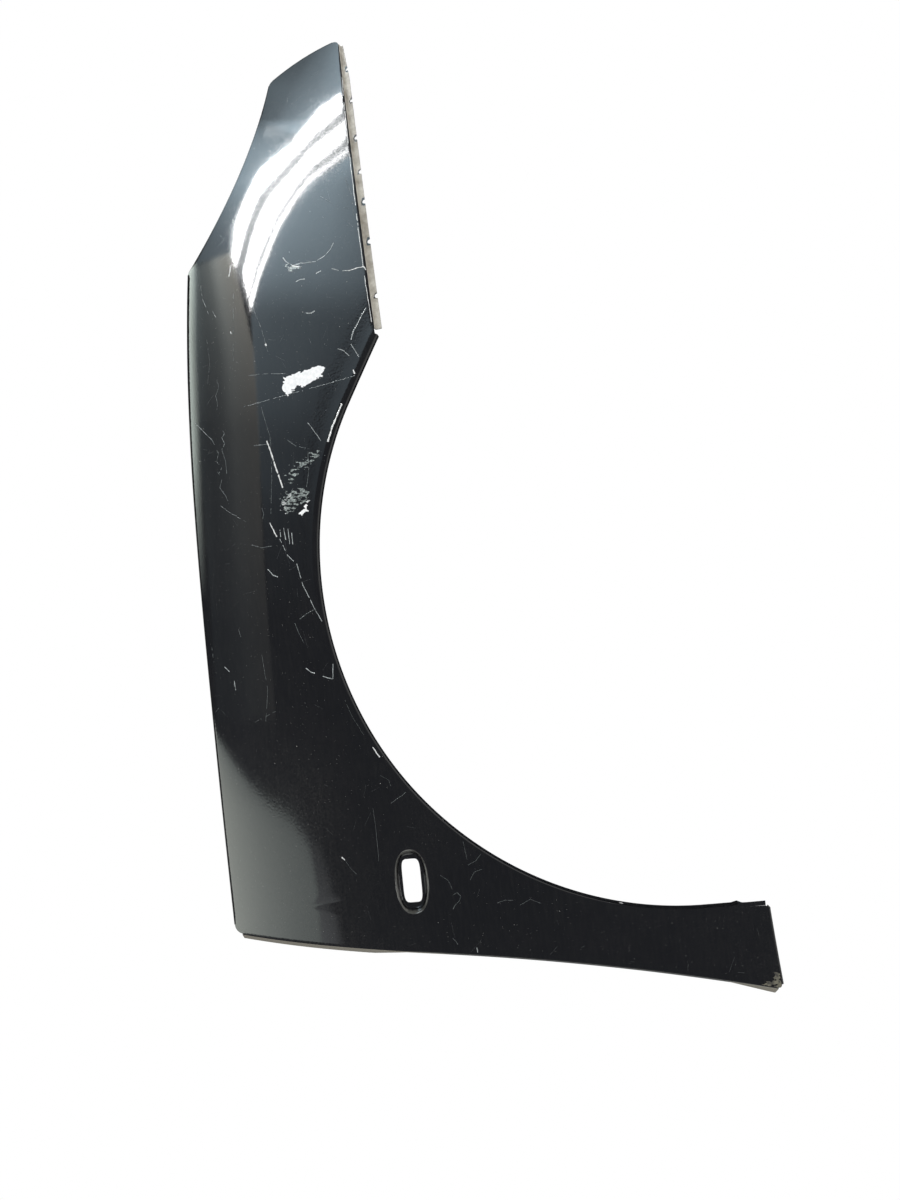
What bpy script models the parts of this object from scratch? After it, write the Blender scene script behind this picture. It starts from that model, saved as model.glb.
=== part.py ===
"""Right-hand front fender of a compact car, pressed from one sheet of steel.

Metres, +X towards the nose, +Z up, +Y in towards the engine bay, so the painted face looks
along -Y. The outline is measured from the wheel centre, forward and up. The finished panel is
moved so that the underside of the middle bolt land of its bonnet flange lies at the origin.
"""

import math

import bmesh
import bpy
from mathutils import Vector

# Sheet and bends
SHEET = 0.0008
BEND_RADIUS = 0.0025
JOGGLE_RADIUS = 0.0011
FOLD_STEPS = 3

# Wheel arch, a circle with a straight run off each end
ARCH_RADIUS = 0.353
ARCH_FRONT_ANGLE = math.radians(58.4)
ARCH_SPLIT_ANGLE = math.radians(124.3)
ARCH_REAR_ANGLE = math.radians(176.0)
ARCH_FRONT_DROP = 0.03806

# Outline round the arch, each edge with its length, its rise or rake, and its bow at its middle
NOSE_AHEAD = 0.259
FRONT_EDGE_HEIGHT = 0.0894
FRONT_EDGE_RAKE = 0.022
FRONT_EDGE_BOW = 0.004
LAMP_EDGE_LENGTH = 0.217
LAMP_EDGE_RISE = 0.114
LAMP_EDGE_BOW = 0.018
BONNET_EDGE_RISE = 0.033
BONNET_EDGE_BOW = 0.004
LEG_WIDTH = 0.092
DOOR_EDGE_RAKE = 0.109
DOOR_EDGE_BOW = 0.017
SILL_REAR_DROP = 0.042
SILL_FRONT_DROP = 0.038
BUMPER_EDGE_UP = ARCH_RADIUS * math.sin(ARCH_FRONT_ANGLE) - ARCH_FRONT_DROP
LAMP_CORNER_UP = BUMPER_EDGE_UP + FRONT_EDGE_HEIGHT
BONNET_CORNER_UP = LAMP_CORNER_UP + LAMP_EDGE_RISE
BONNET_REAR_UP = BONNET_CORNER_UP + BONNET_EDGE_RISE

# Rounding of the outline's corners
TIP_ROUNDING = 0.009
LAMP_CORNER_ROUNDING = 0.010
BONNET_CORNER_ROUNDING = 0.006
REAR_CORNER_ROUNDING = 0.011
SILL_ROUNDING = 0.005
ARCH_CORNER_RELIEF = 0.006
CORNER_HEADING_SHARE = 0.02

# Depth of the skin behind the plane of the wheel arch
NOSE_SWEEP = 0.165
SWEEP_LENGTH = 0.640
SWEEP_START_BACK = 0.060
SWEEP_POWER = 2.4
CROWN_DEPTH = 0.062
CROWN_WIDTH = 0.190
CROWN_POWER = 2.3
SHOULDER_DROP = 0.011
SHOULDER_RISE_SHARE = 0.06
SHOULDER_NOSE_DROP = 0.109
SHOULDER_NOSE_LENGTH = 0.492
SHOULDER_TURN_FORWARD = 0.120
SIDE_RADIUS = 2.2
WIDEST_UP = 0.130
FLARE = 0.007
FLARE_WIDTH = 0.030
SHOULDER_UP = BONNET_CORNER_UP - SHOULDER_DROP
SLOPE_STEP = 0.0005

# Recess and opening for the side repeater lamp
REPEATER_OFF_ARCH = 0.0657
REPEATER_ANGLE = math.radians(133.65)
REPEATER_TILT = math.radians(2.3)
RECESS_LENGTH = 0.064
RECESS_WIDTH = 0.033
RECESS_DEPTH = 0.007
RECESS_POWER = 2.3
OPENING_LENGTH = 0.043
OPENING_WIDTH = 0.018
OPENING_POWER = 5.0
OPENING_LIP = 0.0015
RECESS_SHARES = ((0.0, 0.0), (0.1, 0.06), (0.22, 0.34), (0.44, 0.8), (0.58, 0.97), (0.72, 1.0), (1.0, 1.0))
WINDOW_SHARE = 1.25
FIRST_RING_SHARE = 0.6
REPEATER_FORWARD = (ARCH_RADIUS + REPEATER_OFF_ARCH) * math.cos(REPEATER_ANGLE)
REPEATER_UP = (ARCH_RADIUS + REPEATER_OFF_ARCH) * math.sin(REPEATER_ANGLE)

# Bonnet flange: a wall down from the edge, then a ledge with level bolt lands
LEDGE_DROP = 0.018
LEDGE_WIDTH = 0.020
LEDGE_MIDDLE_SHARE = 0.5
LAND_RISE = 0.002
LAND_SHARES = (0.11, 0.47, 0.89)
BOLT_RADIUS = 0.0035
BOLT_SLOT_LENGTH = 0.011
MOUNT_STATION_SHARE = 0.6

# Folded edges
ARCH_LIP = 0.010
ARCH_LIP_END = 0.012
ARCH_LIP_LEAN = math.radians(3.0)
ARCH_LIP_STOP_DROP = 0.004
FOOT_OPEN_DROP = 0.011
FOOT_FLANGE = 0.0042
FOOT_LEAN = math.radians(76.0)
LIP_HOLE_RADIUS = 0.00275
LIP_HOLE_SHARES = (0.16, 0.38, 0.60, 0.80)
LIP_MIDDLE_SHARE = 0.5
BUMPER_JOGGLE = 0.0035
BUMPER_FLANGE = 0.0048
BUMPER_FLANGE_END = 0.0012
BUMPER_TAPER_SHARE = 0.15
SCALLOP_RADIUS = 0.0028
SCALLOP_SHARES = (0.10, 0.27, 0.40, 0.50, 0.62, 0.76, 0.89)
FRONT_FLANGE = 0.008
LAMP_FLANGE = 0.010
LAMP_TAB = 0.026
LAMP_TAB_SHARE = 0.78
LAMP_TAB_REACH = 1
DOOR_FLANGE = 0.011
DOOR_LEAN = math.radians(26.0)
DOOR_LEAN_FROM_DROP = 0.214
DOOR_LEAN_FULL_DROP = 0.149
DOOR_FOOT_LEAN = math.radians(30.0)
DOOR_FOOT_FROM_DROP = 0.465
DOOR_FOOT_FULL_DROP = 0.532
PILLAR_TAB = 0.028
PILLAR_TAB_SHARE = 0.56
PILLAR_TAB_REACH = 1
SILL_FLANGE = 0.012
SILL_TAB = 0.030
SILL_TAB_SHARE = 0.5
SILL_TAB_REACH = 2
TAB_HOLE_SHARE = 0.6
CUTTER_LENGTH = 0.008

# Grid of the skin: stations along its three stretches, and shares of the way across
NOSE_STATIONS = 17
TOP_STATIONS = 32
LEG_STATIONS = 24
ACROSS_SHARES = (0.0, 0.05, 0.13, 0.22, 0.31, 0.40, 0.49, 0.58, 0.67, 0.76, 0.85, 0.94, 1.0)
HOLE_SIDES = 12

# Paint
PAINT_COLOUR = (0.006, 0.006, 0.008, 1.0)
PAINT_ROUGHNESS = 0.08
PAINT_METALLIC = 0.0

INWARD = Vector((0.0, 1.0, 0.0))
DOWN = Vector((0.0, 0.0, -1.0))


def skin_depth(x, z):
    """Depth of the painted face behind the plane of the wheel arch."""
    sweep = max(0.0, x + SWEEP_START_BACK) / SWEEP_LENGTH
    nose = max(0.0, x - SHOULDER_TURN_FORWARD) / SHOULDER_NOSE_LENGTH
    shoulder = SHOULDER_UP - SHOULDER_RISE_SHARE * x - SHOULDER_NOSE_DROP * nose**2
    crown = max(0.0, 1.0 - (shoulder - z) / CROWN_WIDTH)
    side = (z - WIDEST_UP) ** 2 / (2.0 * SIDE_RADIUS)
    flare = math.exp((ARCH_RADIUS - math.hypot(x, z)) / FLARE_WIDTH)
    swept = NOSE_SWEEP * sweep**SWEEP_POWER + CROWN_DEPTH * crown**CROWN_POWER
    return swept + side - FLARE * flare


def on_skin(place, depth=0.0):
    """The point of the skin over a place of the X-Z plane, or a depth behind it."""
    return Vector((place.x, skin_depth(place.x, place.y) + depth, place.y))


def skin_normal(point):
    """Unit normal of the painted face, pointing out of the car."""
    x, z, step = point.x, point.z, SLOPE_STEP
    slope_x = (skin_depth(x + step, z) - skin_depth(x - step, z)) / (2.0 * step)
    slope_z = (skin_depth(x, z + step) - skin_depth(x, z - step)) / (2.0 * step)
    return Vector((slope_x, -1.0, slope_z)).normalized()


# The outline, in the X-Z plane. Each edge takes a share of its length and gives a place.


def bowed(start, end, bow, share):
    """A place on the arc from start to end whose middle stands off the chord, to its left."""
    chord = end - start
    half_angle = 2.0 * math.atan2(2.0 * bow, chord.length)
    if half_angle == 0.0:
        return start.lerp(end, share)
    radius = chord.length / (2.0 * math.sin(half_angle))
    angle = half_angle * (2.0 * share - 1.0)
    along = 0.5 + radius * math.sin(angle) / chord.length
    left = Vector((-chord.y, chord.x)).normalized()
    return start + chord * along + left * radius * (math.cos(angle) - math.cos(half_angle))


def arch_place(angle):
    return Vector((math.cos(angle), math.sin(angle))) * ARCH_RADIUS


def off_the_arch(angle, height):
    """Where the straight run that leaves the arch at an angle reaches a height."""
    start, heading = arch_place(angle), Vector((-math.sin(angle), math.cos(angle)))
    return start + heading * ((height - start.y) / heading.y)


TIP = Vector((ARCH_RADIUS + NOSE_AHEAD, BUMPER_EDGE_UP))
LAMP_CORNER = Vector((TIP.x - FRONT_EDGE_RAKE, LAMP_CORNER_UP))
BONNET_CORNER = Vector((LAMP_CORNER.x - LAMP_EDGE_LENGTH, BONNET_CORNER_UP))
SILL_REAR = Vector((-ARCH_RADIUS - LEG_WIDTH, -SILL_REAR_DROP))
REAR_CORNER = Vector((SILL_REAR.x + DOOR_EDGE_RAKE, BONNET_REAR_UP))
ARCH_CORNER = off_the_arch(ARCH_FRONT_ANGLE, BUMPER_EDGE_UP)
SILL_FRONT = off_the_arch(ARCH_REAR_ANGLE, -SILL_FRONT_DROP)


def front_edge(share):
    return bowed(TIP, LAMP_CORNER, -FRONT_EDGE_BOW, share)


def lamp_edge(share):
    return bowed(LAMP_CORNER, BONNET_CORNER, LAMP_EDGE_BOW, share)


def bonnet_edge(share):
    return bowed(BONNET_CORNER, REAR_CORNER, -BONNET_EDGE_BOW, share)


def door_edge(share):
    return bowed(REAR_CORNER, SILL_REAR, DOOR_EDGE_BOW, share)


def sill_edge(share):
    return SILL_FRONT.lerp(SILL_REAR, share)


def bumper_edge(share):
    return TIP.lerp(ARCH_CORNER, share)


def arch_front_edge(share):
    """The straight run from the bumper edge, then the arch up to the split."""
    straight = (arch_place(ARCH_FRONT_ANGLE) - ARCH_CORNER).length
    along = share * (straight + ARCH_RADIUS * (ARCH_SPLIT_ANGLE - ARCH_FRONT_ANGLE))
    if along < straight:
        return ARCH_CORNER.lerp(arch_place(ARCH_FRONT_ANGLE), along / straight)
    return arch_place(ARCH_FRONT_ANGLE + (along - straight) / ARCH_RADIUS)


def arch_rear_edge(share):
    """The arch down from the split, then the straight run to the sill end."""
    arc = ARCH_RADIUS * (ARCH_REAR_ANGLE - ARCH_SPLIT_ANGLE)
    straight = (SILL_FRONT - arch_place(ARCH_REAR_ANGLE)).length
    along = share * (straight + arc)
    if along < arc:
        return arch_place(ARCH_SPLIT_ANGLE + along / ARCH_RADIUS)
    return arch_place(ARCH_REAR_ANGLE).lerp(SILL_FRONT, (along - arc) / straight)


def edge_length(edge):
    return (edge(0.5) - edge(0.0)).length + (edge(1.0) - edge(0.5)).length


def backwards(edge):
    return lambda share: edge(1.0 - share)


def rounded_corner(edge_in, edge_out, rounding):
    """The middle of the arc between two edges, and how far the arc reaches along each."""
    corner = edge_out(0.0)
    incoming = (corner - edge_in(1.0 - CORNER_HEADING_SHARE)).normalized()
    outgoing = (edge_out(CORNER_HEADING_SHARE) - corner).normalized()
    half_turn = 0.5 * incoming.angle(outgoing)
    to_centre = (outgoing - incoming).normalized()
    middle = corner + to_centre * rounding * (1.0 / math.cos(half_turn) - 1.0)
    return middle, rounding * math.tan(half_turn)


def stations(edge, count, start_reach, end_reach):
    """Evenly spaced places along an edge, clear of the roundings at its ends."""
    first = start_reach / edge_length(edge)
    last = 1.0 - end_reach / edge_length(edge)
    return [edge(first + (last - first) * index / (count - 1)) for index in range(count)]


def across(edge, ends, reaches):
    """A short edge at the grid's own shares, with its two rounded corners."""
    places = [edge(share) for share in ACROSS_SHARES]
    places[0], places[-1] = ends
    places[1] = edge(reaches[0] / edge_length(edge))
    places[-2] = edge(1.0 - reaches[1] / edge_length(edge))
    return places


def inset(places, before, after, side):
    """A run of places moved aside by the bend radius, so that the folds end on the outline."""
    moved = []
    chain = [before] + places + [after]
    for last, place, following in zip(chain, places, chain[2:]):
        heading = ((place - last).normalized() + (following - place).normalized()).normalized()
        moved.append(place + Vector((-heading.y, heading.x)) * side * BEND_RADIUS)
    return moved


def skin_rows():
    """Rows of places across the panel, from the front edge back and down to the sill end."""
    tip, tip_reach = rounded_corner(backwards(front_edge), bumper_edge, TIP_ROUNDING)
    lamp, lamp_reach = rounded_corner(front_edge, lamp_edge, LAMP_CORNER_ROUNDING)
    bonnet, bonnet_reach = rounded_corner(lamp_edge, bonnet_edge, BONNET_CORNER_ROUNDING)
    rear, rear_reach = rounded_corner(bonnet_edge, door_edge, REAR_CORNER_ROUNDING)
    leg, leg_reach = rounded_corner(arch_rear_edge, sill_edge, SILL_ROUNDING)
    sill, sill_reach = rounded_corner(door_edge, backwards(sill_edge), SILL_ROUNDING)
    front_row = across(front_edge, (tip, lamp), (tip_reach, lamp_reach))
    sill_row = across(sill_edge, (leg, sill), (leg_reach, sill_reach))
    lower = (
        [tip]
        + stations(bumper_edge, NOSE_STATIONS - 1, tip_reach, ARCH_CORNER_RELIEF)
        + [arch_front_edge(index / TOP_STATIONS) for index in range(TOP_STATIONS)]
        + stations(arch_rear_edge, LEG_STATIONS, 0.0, leg_reach)
        + [leg]
    )
    upper = (
        [lamp]
        + stations(lamp_edge, NOSE_STATIONS - 1, lamp_reach, bonnet_reach)
        + [bonnet]
        + stations(bonnet_edge, TOP_STATIONS - 1, bonnet_reach, rear_reach)
        + [rear]
        + stations(door_edge, LEG_STATIONS - 1, rear_reach, sill_reach)
        + [sill]
    )
    low = inset(lower, front_row[1], sill_row[1], -1.0)
    high = inset(upper, front_row[-2], sill_row[-2], 1.0)
    rows = [[first.lerp(last, share) for share in ACROSS_SHARES] for first, last in zip(low, high)]
    rows[0] = inset(front_row, lower[1], upper[1], 1.0)
    rows[-1] = inset(sill_row, lower[-2], upper[-2], -1.0)
    return rows


# The repeater's recess, in its own tilted frame: forward and up as shares of its half sizes


def repeater_frame(place):
    forward = place.x - REPEATER_FORWARD
    up = place.y - REPEATER_UP
    cosine, sine = math.cos(REPEATER_TILT), math.sin(REPEATER_TILT)
    along = (forward * cosine - up * sine) / (0.5 * RECESS_LENGTH)
    aside = (forward * sine + up * cosine) / (0.5 * RECESS_WIDTH)
    return along, aside


def oval(angle, length, width, power):
    """A place on a squared oval round the repeater's centre."""
    cosine, sine = math.cos(angle), math.sin(angle)
    along = 0.5 * length * math.copysign(abs(cosine) ** (2.0 / power), cosine)
    aside = 0.5 * width * math.copysign(abs(sine) ** (2.0 / power), sine)
    cosine, sine = math.cos(REPEATER_TILT), math.sin(REPEATER_TILT)
    centre = Vector((REPEATER_FORWARD, REPEATER_UP))
    return centre + Vector((along * cosine + aside * sine, aside * cosine - along * sine))


def recess_window(rows):
    """The block of grid cells that the recess replaces: first and last row, first and last column."""
    inside = []
    for row, places in enumerate(rows):
        for column, place in enumerate(places):
            along, aside = repeater_frame(place)
            if abs(along) ** RECESS_POWER + abs(aside) ** RECESS_POWER < WINDOW_SHARE**RECESS_POWER:
                inside.append((row, column))
    used_rows = [row for row, _ in inside]
    used_columns = [column for _, column in inside]
    first_column = max(1, min(used_columns) - 1)
    last_column = min(len(ACROSS_SHARES) - 2, max(used_columns) + 1)
    return min(used_rows) - 1, max(used_rows) + 1, first_column, last_column


def window_border(grid, window):
    """The corners of the window's cells, once round it."""
    first_row, last_row, first_column, last_column = window
    front = [grid[first_row][column] for column in range(first_column, last_column)]
    top = [grid[row][last_column] for row in range(first_row, last_row)]
    back = [grid[last_row][column] for column in range(last_column, first_column, -1)]
    bottom = [grid[row][first_column] for row in range(last_row, first_row, -1)]
    return front + top + back + bottom


def recess_rings(border):
    """Rings of points from the window's border down the recess to the lip of its opening."""
    places = [Vector((vert.co.x, vert.co.z)) for vert in border]
    angles = [math.atan2(aside, along) for along, aside in map(repeater_frame, places)]
    rims = [oval(angle, RECESS_LENGTH, RECESS_WIDTH, RECESS_POWER) for angle in angles]
    openings = [oval(angle, OPENING_LENGTH, OPENING_WIDTH, OPENING_POWER) for angle in angles]
    rings = [[on_skin(place.lerp(rim, FIRST_RING_SHARE)) for place, rim in zip(places, rims)]]
    for way_in, way_down in RECESS_SHARES:
        ring = [rim.lerp(opening, way_in) for rim, opening in zip(rims, openings)]
        rings.append([on_skin(place, RECESS_DEPTH * way_down) for place in ring])
    rings.append([on_skin(place, RECESS_DEPTH + OPENING_LIP) for place in openings])
    return rings


def add_rings(mesh, border, rings):
    previous = border
    for ring in rings:
        current = [mesh.verts.new(point) for point in ring]
        for index in range(len(current)):
            mesh.faces.new((previous[index - 1], previous[index], current[index], current[index - 1]))
        previous = current


def add_skin(mesh):
    """The painted face with the repeater's recess. Gives the grid of its corners."""
    rows = skin_rows()
    window = recess_window(rows)
    first_row, last_row, first_column, last_column = window
    grid = [[mesh.verts.new(on_skin(place)) for place in places] for places in rows]
    for row in range(len(grid) - 1):
        for column in range(len(ACROSS_SHARES) - 1):
            if first_row <= row < last_row and first_column <= column < last_column:
                continue
            near, far = grid[row], grid[row + 1]
            mesh.faces.new((near[column], near[column + 1], far[column + 1], far[column]))
    border = window_border(grid, window)
    add_rings(mesh, border, recess_rings(border))
    for places in grid[first_row + 1 : last_row]:
        for vert in places[first_column + 1 : last_column]:
            mesh.verts.remove(vert)
    return grid


# Folded edges. Each section gives the points that follow a station of the edge.


def fold(point, heading, bends, radius):
    """Points of a sheet that leaves a point along heading and takes each bend and run in turn."""
    points = []
    for direction, run in bends:
        turn = heading.angle(direction)
        start = point
        for step in range(1, FOLD_STEPS + 1):
            angle = turn * step / FOLD_STEPS
            ahead = math.cos(turn - angle) - math.cos(turn)
            aside = 1.0 - math.cos(angle)
            point = start + (heading * ahead + direction * aside) * (radius / math.sin(turn))
            points.append(point)
        point = point + direction * run
        points.append(point)
        heading = direction
    return points


def leaning(out, lean):
    """The inward direction, tipped out of the sheet's edge by an angle."""
    level = (out - INWARD * out.dot(INWARD)).normalized()
    return INWARD * math.cos(lean) + level * math.sin(lean)


def tab_run(index, count, share, reach, plain, tab):
    """Width of a flange at a station: the tab's from the station nearest a share to its reach."""
    return tab if abs(index - round(share * (count - 1))) <= reach else plain


def land_station(index, count):
    """The middle station of the bolt land that a station belongs to, or None."""
    for share in LAND_SHARES:
        middle = round(share * (count - 1))
        if abs(index - middle) <= 1:
            return middle
    return None


def bonnet_section(index, frames):
    point, out, _ = frames[index]
    land = land_station(index, len(frames))
    if land is None:
        level = point.z - LEDGE_DROP
    else:
        level = frames[land][0].z - LEDGE_DROP + LAND_RISE
    edge_drop = fold(point, out, [(DOWN, 0.0)], BEND_RADIUS)[-1].z
    wall = edge_drop - BEND_RADIUS - level
    return fold(point, out, [(DOWN, wall), (INWARD, LEDGE_WIDTH)], BEND_RADIUS)


def lamp_section(index, frames):
    point, out, _ = frames[index]
    run = tab_run(index, len(frames), LAMP_TAB_SHARE, LAMP_TAB_REACH, LAMP_FLANGE, LAMP_TAB)
    return fold(point, out, [(INWARD, run)], BEND_RADIUS)


def front_section(index, frames):
    point, out, _ = frames[index]
    return fold(point, out, [(INWARD, FRONT_FLANGE)], BEND_RADIUS)


def sill_section(index, frames):
    point, out, _ = frames[index]
    run = tab_run(index, len(frames), SILL_TAB_SHARE, SILL_TAB_REACH, SILL_FLANGE, SILL_TAB)
    return fold(point, out, [(INWARD, run)], BEND_RADIUS)


def door_section(index, frames):
    point, out, _ = frames[index]
    drop = BONNET_REAR_UP - point.z
    rise = (DOOR_LEAN_FROM_DROP - drop) / (DOOR_LEAN_FROM_DROP - DOOR_LEAN_FULL_DROP)
    foot = (drop - DOOR_FOOT_FROM_DROP) / (DOOR_FOOT_FULL_DROP - DOOR_FOOT_FROM_DROP)
    lean = DOOR_LEAN * max(0.0, min(1.0, rise)) + DOOR_FOOT_LEAN * max(0.0, min(1.0, foot))
    direction = leaning(out, lean)
    run = tab_run(index, len(frames), PILLAR_TAB_SHARE, PILLAR_TAB_REACH, DOOR_FLANGE, PILLAR_TAB)
    return fold(point, out, [(direction, run)], BEND_RADIUS)


def arch_section(index, frames):
    point, out, _ = frames[index]
    run = ARCH_LIP_END + (ARCH_LIP - ARCH_LIP_END) * index / (len(frames) - 1)
    opened = (-ARCH_LIP_STOP_DROP - point.z) / (FOOT_OPEN_DROP - ARCH_LIP_STOP_DROP)
    opened = max(0.0, min(1.0, opened))
    run += (FOOT_FLANGE - run) * opened
    lean = ARCH_LIP_LEAN + (FOOT_LEAN - ARCH_LIP_LEAN) * opened
    return fold(point, out, [(leaning(out, lean), run)], BEND_RADIUS)


def bumper_section(index, frames):
    point, out, normal = frames[index]
    step_in = BUMPER_JOGGLE - 2.0 * JOGGLE_RADIUS
    taper = min(1.0, (1.0 - index / (len(frames) - 1)) / BUMPER_TAPER_SHARE)
    run = BUMPER_FLANGE_END + (BUMPER_FLANGE - BUMPER_FLANGE_END) * taper
    return fold(point, out, [(-normal, step_in), (out, run)], JOGGLE_RADIUS)


def add_flange(mesh, edge, section):
    """A folded strip along an edge of the skin, taken with the panel on its left."""
    points = [vert.co.copy() for vert in edge]
    ends = [points[0]] + points + [points[-1]]
    frames = []
    for last, point, following in zip(ends, points, ends[2:]):
        normal = skin_normal(point)
        frames.append((point, (following - last).cross(normal).normalized(), normal))
    strip = []
    for index, vert in enumerate(edge):
        strip.append([vert] + [mesh.verts.new(point) for point in section(index, frames)])
    for near, far in zip(strip, strip[1:]):
        for step in range(len(near) - 1):
            mesh.faces.new((near[step], near[step + 1], far[step + 1], far[step]))
    return strip


def place_on(strip, station, share):
    """A point of a strip's last run and the face's normal there. A station may be a fraction."""
    first = min(int(station), len(strip) - 2)
    near, far = strip[first], strip[first + 1]
    mix = station - first
    root = near[-2].co.lerp(far[-2].co, mix)
    brim = near[-1].co.lerp(far[-1].co, mix)
    normal = (near[-1].co - near[-2].co).cross(far[-2].co - near[-2].co).normalized()
    along = (far[-2].co - near[-2].co).normalized()
    return root.lerp(brim, share), normal, along


# Holes


def add_hole(mesh, place, radius, slot_length=0.0):
    """A round or slotted cutter through the sheet, along the face's normal."""
    point, normal, along = place
    aside = normal.cross(along)
    stretch = max(0.0, 0.5 * slot_length - radius)
    rings = []
    for end in (-0.5 * CUTTER_LENGTH, 0.5 * CUTTER_LENGTH):
        ring = []
        for side in range(HOLE_SIDES):
            angle = 2.0 * math.pi * (side + 0.5) / HOLE_SIDES
            reach = along * (radius * math.cos(angle) + math.copysign(stretch, math.cos(angle)))
            ring.append(mesh.verts.new(point + normal * end + reach + aside * radius * math.sin(angle)))
        rings.append(ring)
    low, high = rings
    for side in range(HOLE_SIDES):
        mesh.faces.new((low[side - 1], low[side], high[side], high[side - 1]))
    mesh.faces.new(low[::-1])
    mesh.faces.new(high)


def add_land_holes(mesh, bonnet):
    """A bolt hole in each land: round at the two ends, a slot in the middle one."""
    for share in LAND_SHARES:
        middle = round(share * (len(bonnet) - 1))
        slot = BOLT_SLOT_LENGTH if share == LAND_SHARES[1] else 0.0
        add_hole(mesh, place_on(bonnet, middle, LEDGE_MIDDLE_SHARE), BOLT_RADIUS, slot)


def add_tab_hole(mesh, strip, share, slot_length):
    middle = round(share * (len(strip) - 1))
    add_hole(mesh, place_on(strip, middle, TAB_HOLE_SHARE), BOLT_RADIUS, slot_length)


def build_material():
    paint = bpy.data.materials.new("black_paint")
    paint.use_nodes = True
    shader = paint.node_tree.nodes["Principled BSDF"]
    shader.inputs["Base Color"].default_value = PAINT_COLOUR
    shader.inputs["Roughness"].default_value = PAINT_ROUGHNESS
    shader.inputs["Metallic"].default_value = PAINT_METALLIC
    return paint


def add_object(name, mesh, location):
    data = bpy.data.meshes.new(name)
    mesh.to_mesh(data)
    mesh.free()
    obj = bpy.data.objects.new(name, data)
    obj.location = location
    bpy.context.collection.objects.link(obj)
    return obj


def build_fender():
    panel, holes = bmesh.new(), bmesh.new()
    grid = add_skin(panel)
    lower = [row[0] for row in grid]
    upper = [row[-1] for row in grid]
    top_start, leg_start = NOSE_STATIONS, NOSE_STATIONS + TOP_STATIONS
    lip = lower[top_start:-1]
    add_flange(panel, grid[0][1:-1], front_section)
    lamp = add_flange(panel, upper[1:top_start], lamp_section)
    bonnet = add_flange(panel, upper[top_start + 1 : leg_start], bonnet_section)
    door = add_flange(panel, upper[leg_start + 1 : -1], door_section)
    sill = add_flange(panel, grid[-1][-2:0:-1], sill_section)
    arch = add_flange(panel, lip[::-1], arch_section)
    bumper = add_flange(panel, lower[top_start - 1 : 0 : -1], bumper_section)

    add_land_holes(holes, bonnet)
    add_tab_hole(holes, lamp, LAMP_TAB_SHARE, 0.0)
    add_tab_hole(holes, door, PILLAR_TAB_SHARE, 0.0)
    add_tab_hole(holes, sill, SILL_TAB_SHARE, BOLT_SLOT_LENGTH)
    for share in LIP_HOLE_SHARES:
        add_hole(holes, place_on(arch, share * (len(arch) - 1), LIP_MIDDLE_SHARE), LIP_HOLE_RADIUS)
    for share in SCALLOP_SHARES:
        add_hole(holes, place_on(bumper, share * (len(bumper) - 1), 1.0), SCALLOP_RADIUS)

    middle = round(LAND_SHARES[1] * (len(bonnet) - 1))
    seat, land_up, _ = place_on(bonnet, middle - MOUNT_STATION_SHARE, LEDGE_MIDDLE_SHARE)
    origin = seat - land_up * SHEET
    fender = add_object("fender_panel", panel, -origin)
    cutters = add_object("hole_cutters", holes, -origin)
    cutters.hide_render = True
    cutters.display_type = "WIRE"

    fender.data.materials.append(build_material())
    fender.data.shade_smooth()
    wall = fender.modifiers.new("sheet_thickness", "SOLIDIFY")
    wall.thickness = SHEET
    wall.offset = -1.0
    wall.use_even_offset = True
    wall.use_quality_normals = True
    cut = fender.modifiers.new("holes", "BOOLEAN")
    cut.operation = "DIFFERENCE"
    cut.solver = "EXACT"
    cut.object = cutters


def main():
    for obj in list(bpy.data.objects):
        bpy.data.objects.remove(obj, do_unlink=True)
    build_fender()


main()
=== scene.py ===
"""Looks of the right-hand front fender: its painted skin, its wear and the stage.

The panel is laid out from the wheel centre, forward and up, as the CAD model is, and then
moved to the model's own frame. Pixels are those of the photograph. The cards of light are
placed by the mirror rule, so that each one shows in the paint where the photograph shows a
reflection.
"""

import math

import bmesh
import bpy
from mathutils import Matrix, Vector, noise


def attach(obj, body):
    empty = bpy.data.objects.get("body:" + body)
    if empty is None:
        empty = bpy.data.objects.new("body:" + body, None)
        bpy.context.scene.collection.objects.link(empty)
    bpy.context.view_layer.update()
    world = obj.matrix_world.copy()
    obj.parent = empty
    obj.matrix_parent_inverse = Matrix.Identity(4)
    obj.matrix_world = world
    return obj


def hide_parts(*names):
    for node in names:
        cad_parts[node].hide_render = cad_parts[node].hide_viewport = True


bl_info = {
    "name": "Front fender looks",
    "version": (1, 0, 0),
    "blender": (4, 5, 0),
    "location": "View3D > Sidebar > Fender",
    "description": "Builds the painted front fender, its wear and its stage round the packed frame",
    "category": "Object",
}

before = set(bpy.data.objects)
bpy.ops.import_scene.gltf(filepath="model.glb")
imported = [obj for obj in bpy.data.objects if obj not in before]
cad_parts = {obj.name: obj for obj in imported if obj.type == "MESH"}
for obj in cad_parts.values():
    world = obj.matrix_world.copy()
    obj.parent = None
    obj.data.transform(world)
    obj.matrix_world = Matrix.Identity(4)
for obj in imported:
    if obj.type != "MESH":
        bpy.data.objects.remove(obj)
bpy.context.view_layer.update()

# Where the wheel centre lies in the model's frame
WHEEL = Vector((-0.0597484, -0.1352037, -0.465903))

# Sheet and bends
SHEET = 0.0008
BEND_RADIUS = 0.0025
JOGGLE_RADIUS = 0.0011
FOLD_STEPS = 6

# Wheel arch
ARCH_RADIUS = 0.353
ARCH_FRONT_ANGLE = math.radians(58.4)
ARCH_SPLIT_ANGLE = math.radians(124.3)
ARCH_REAR_ANGLE = math.radians(176.0)

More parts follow.
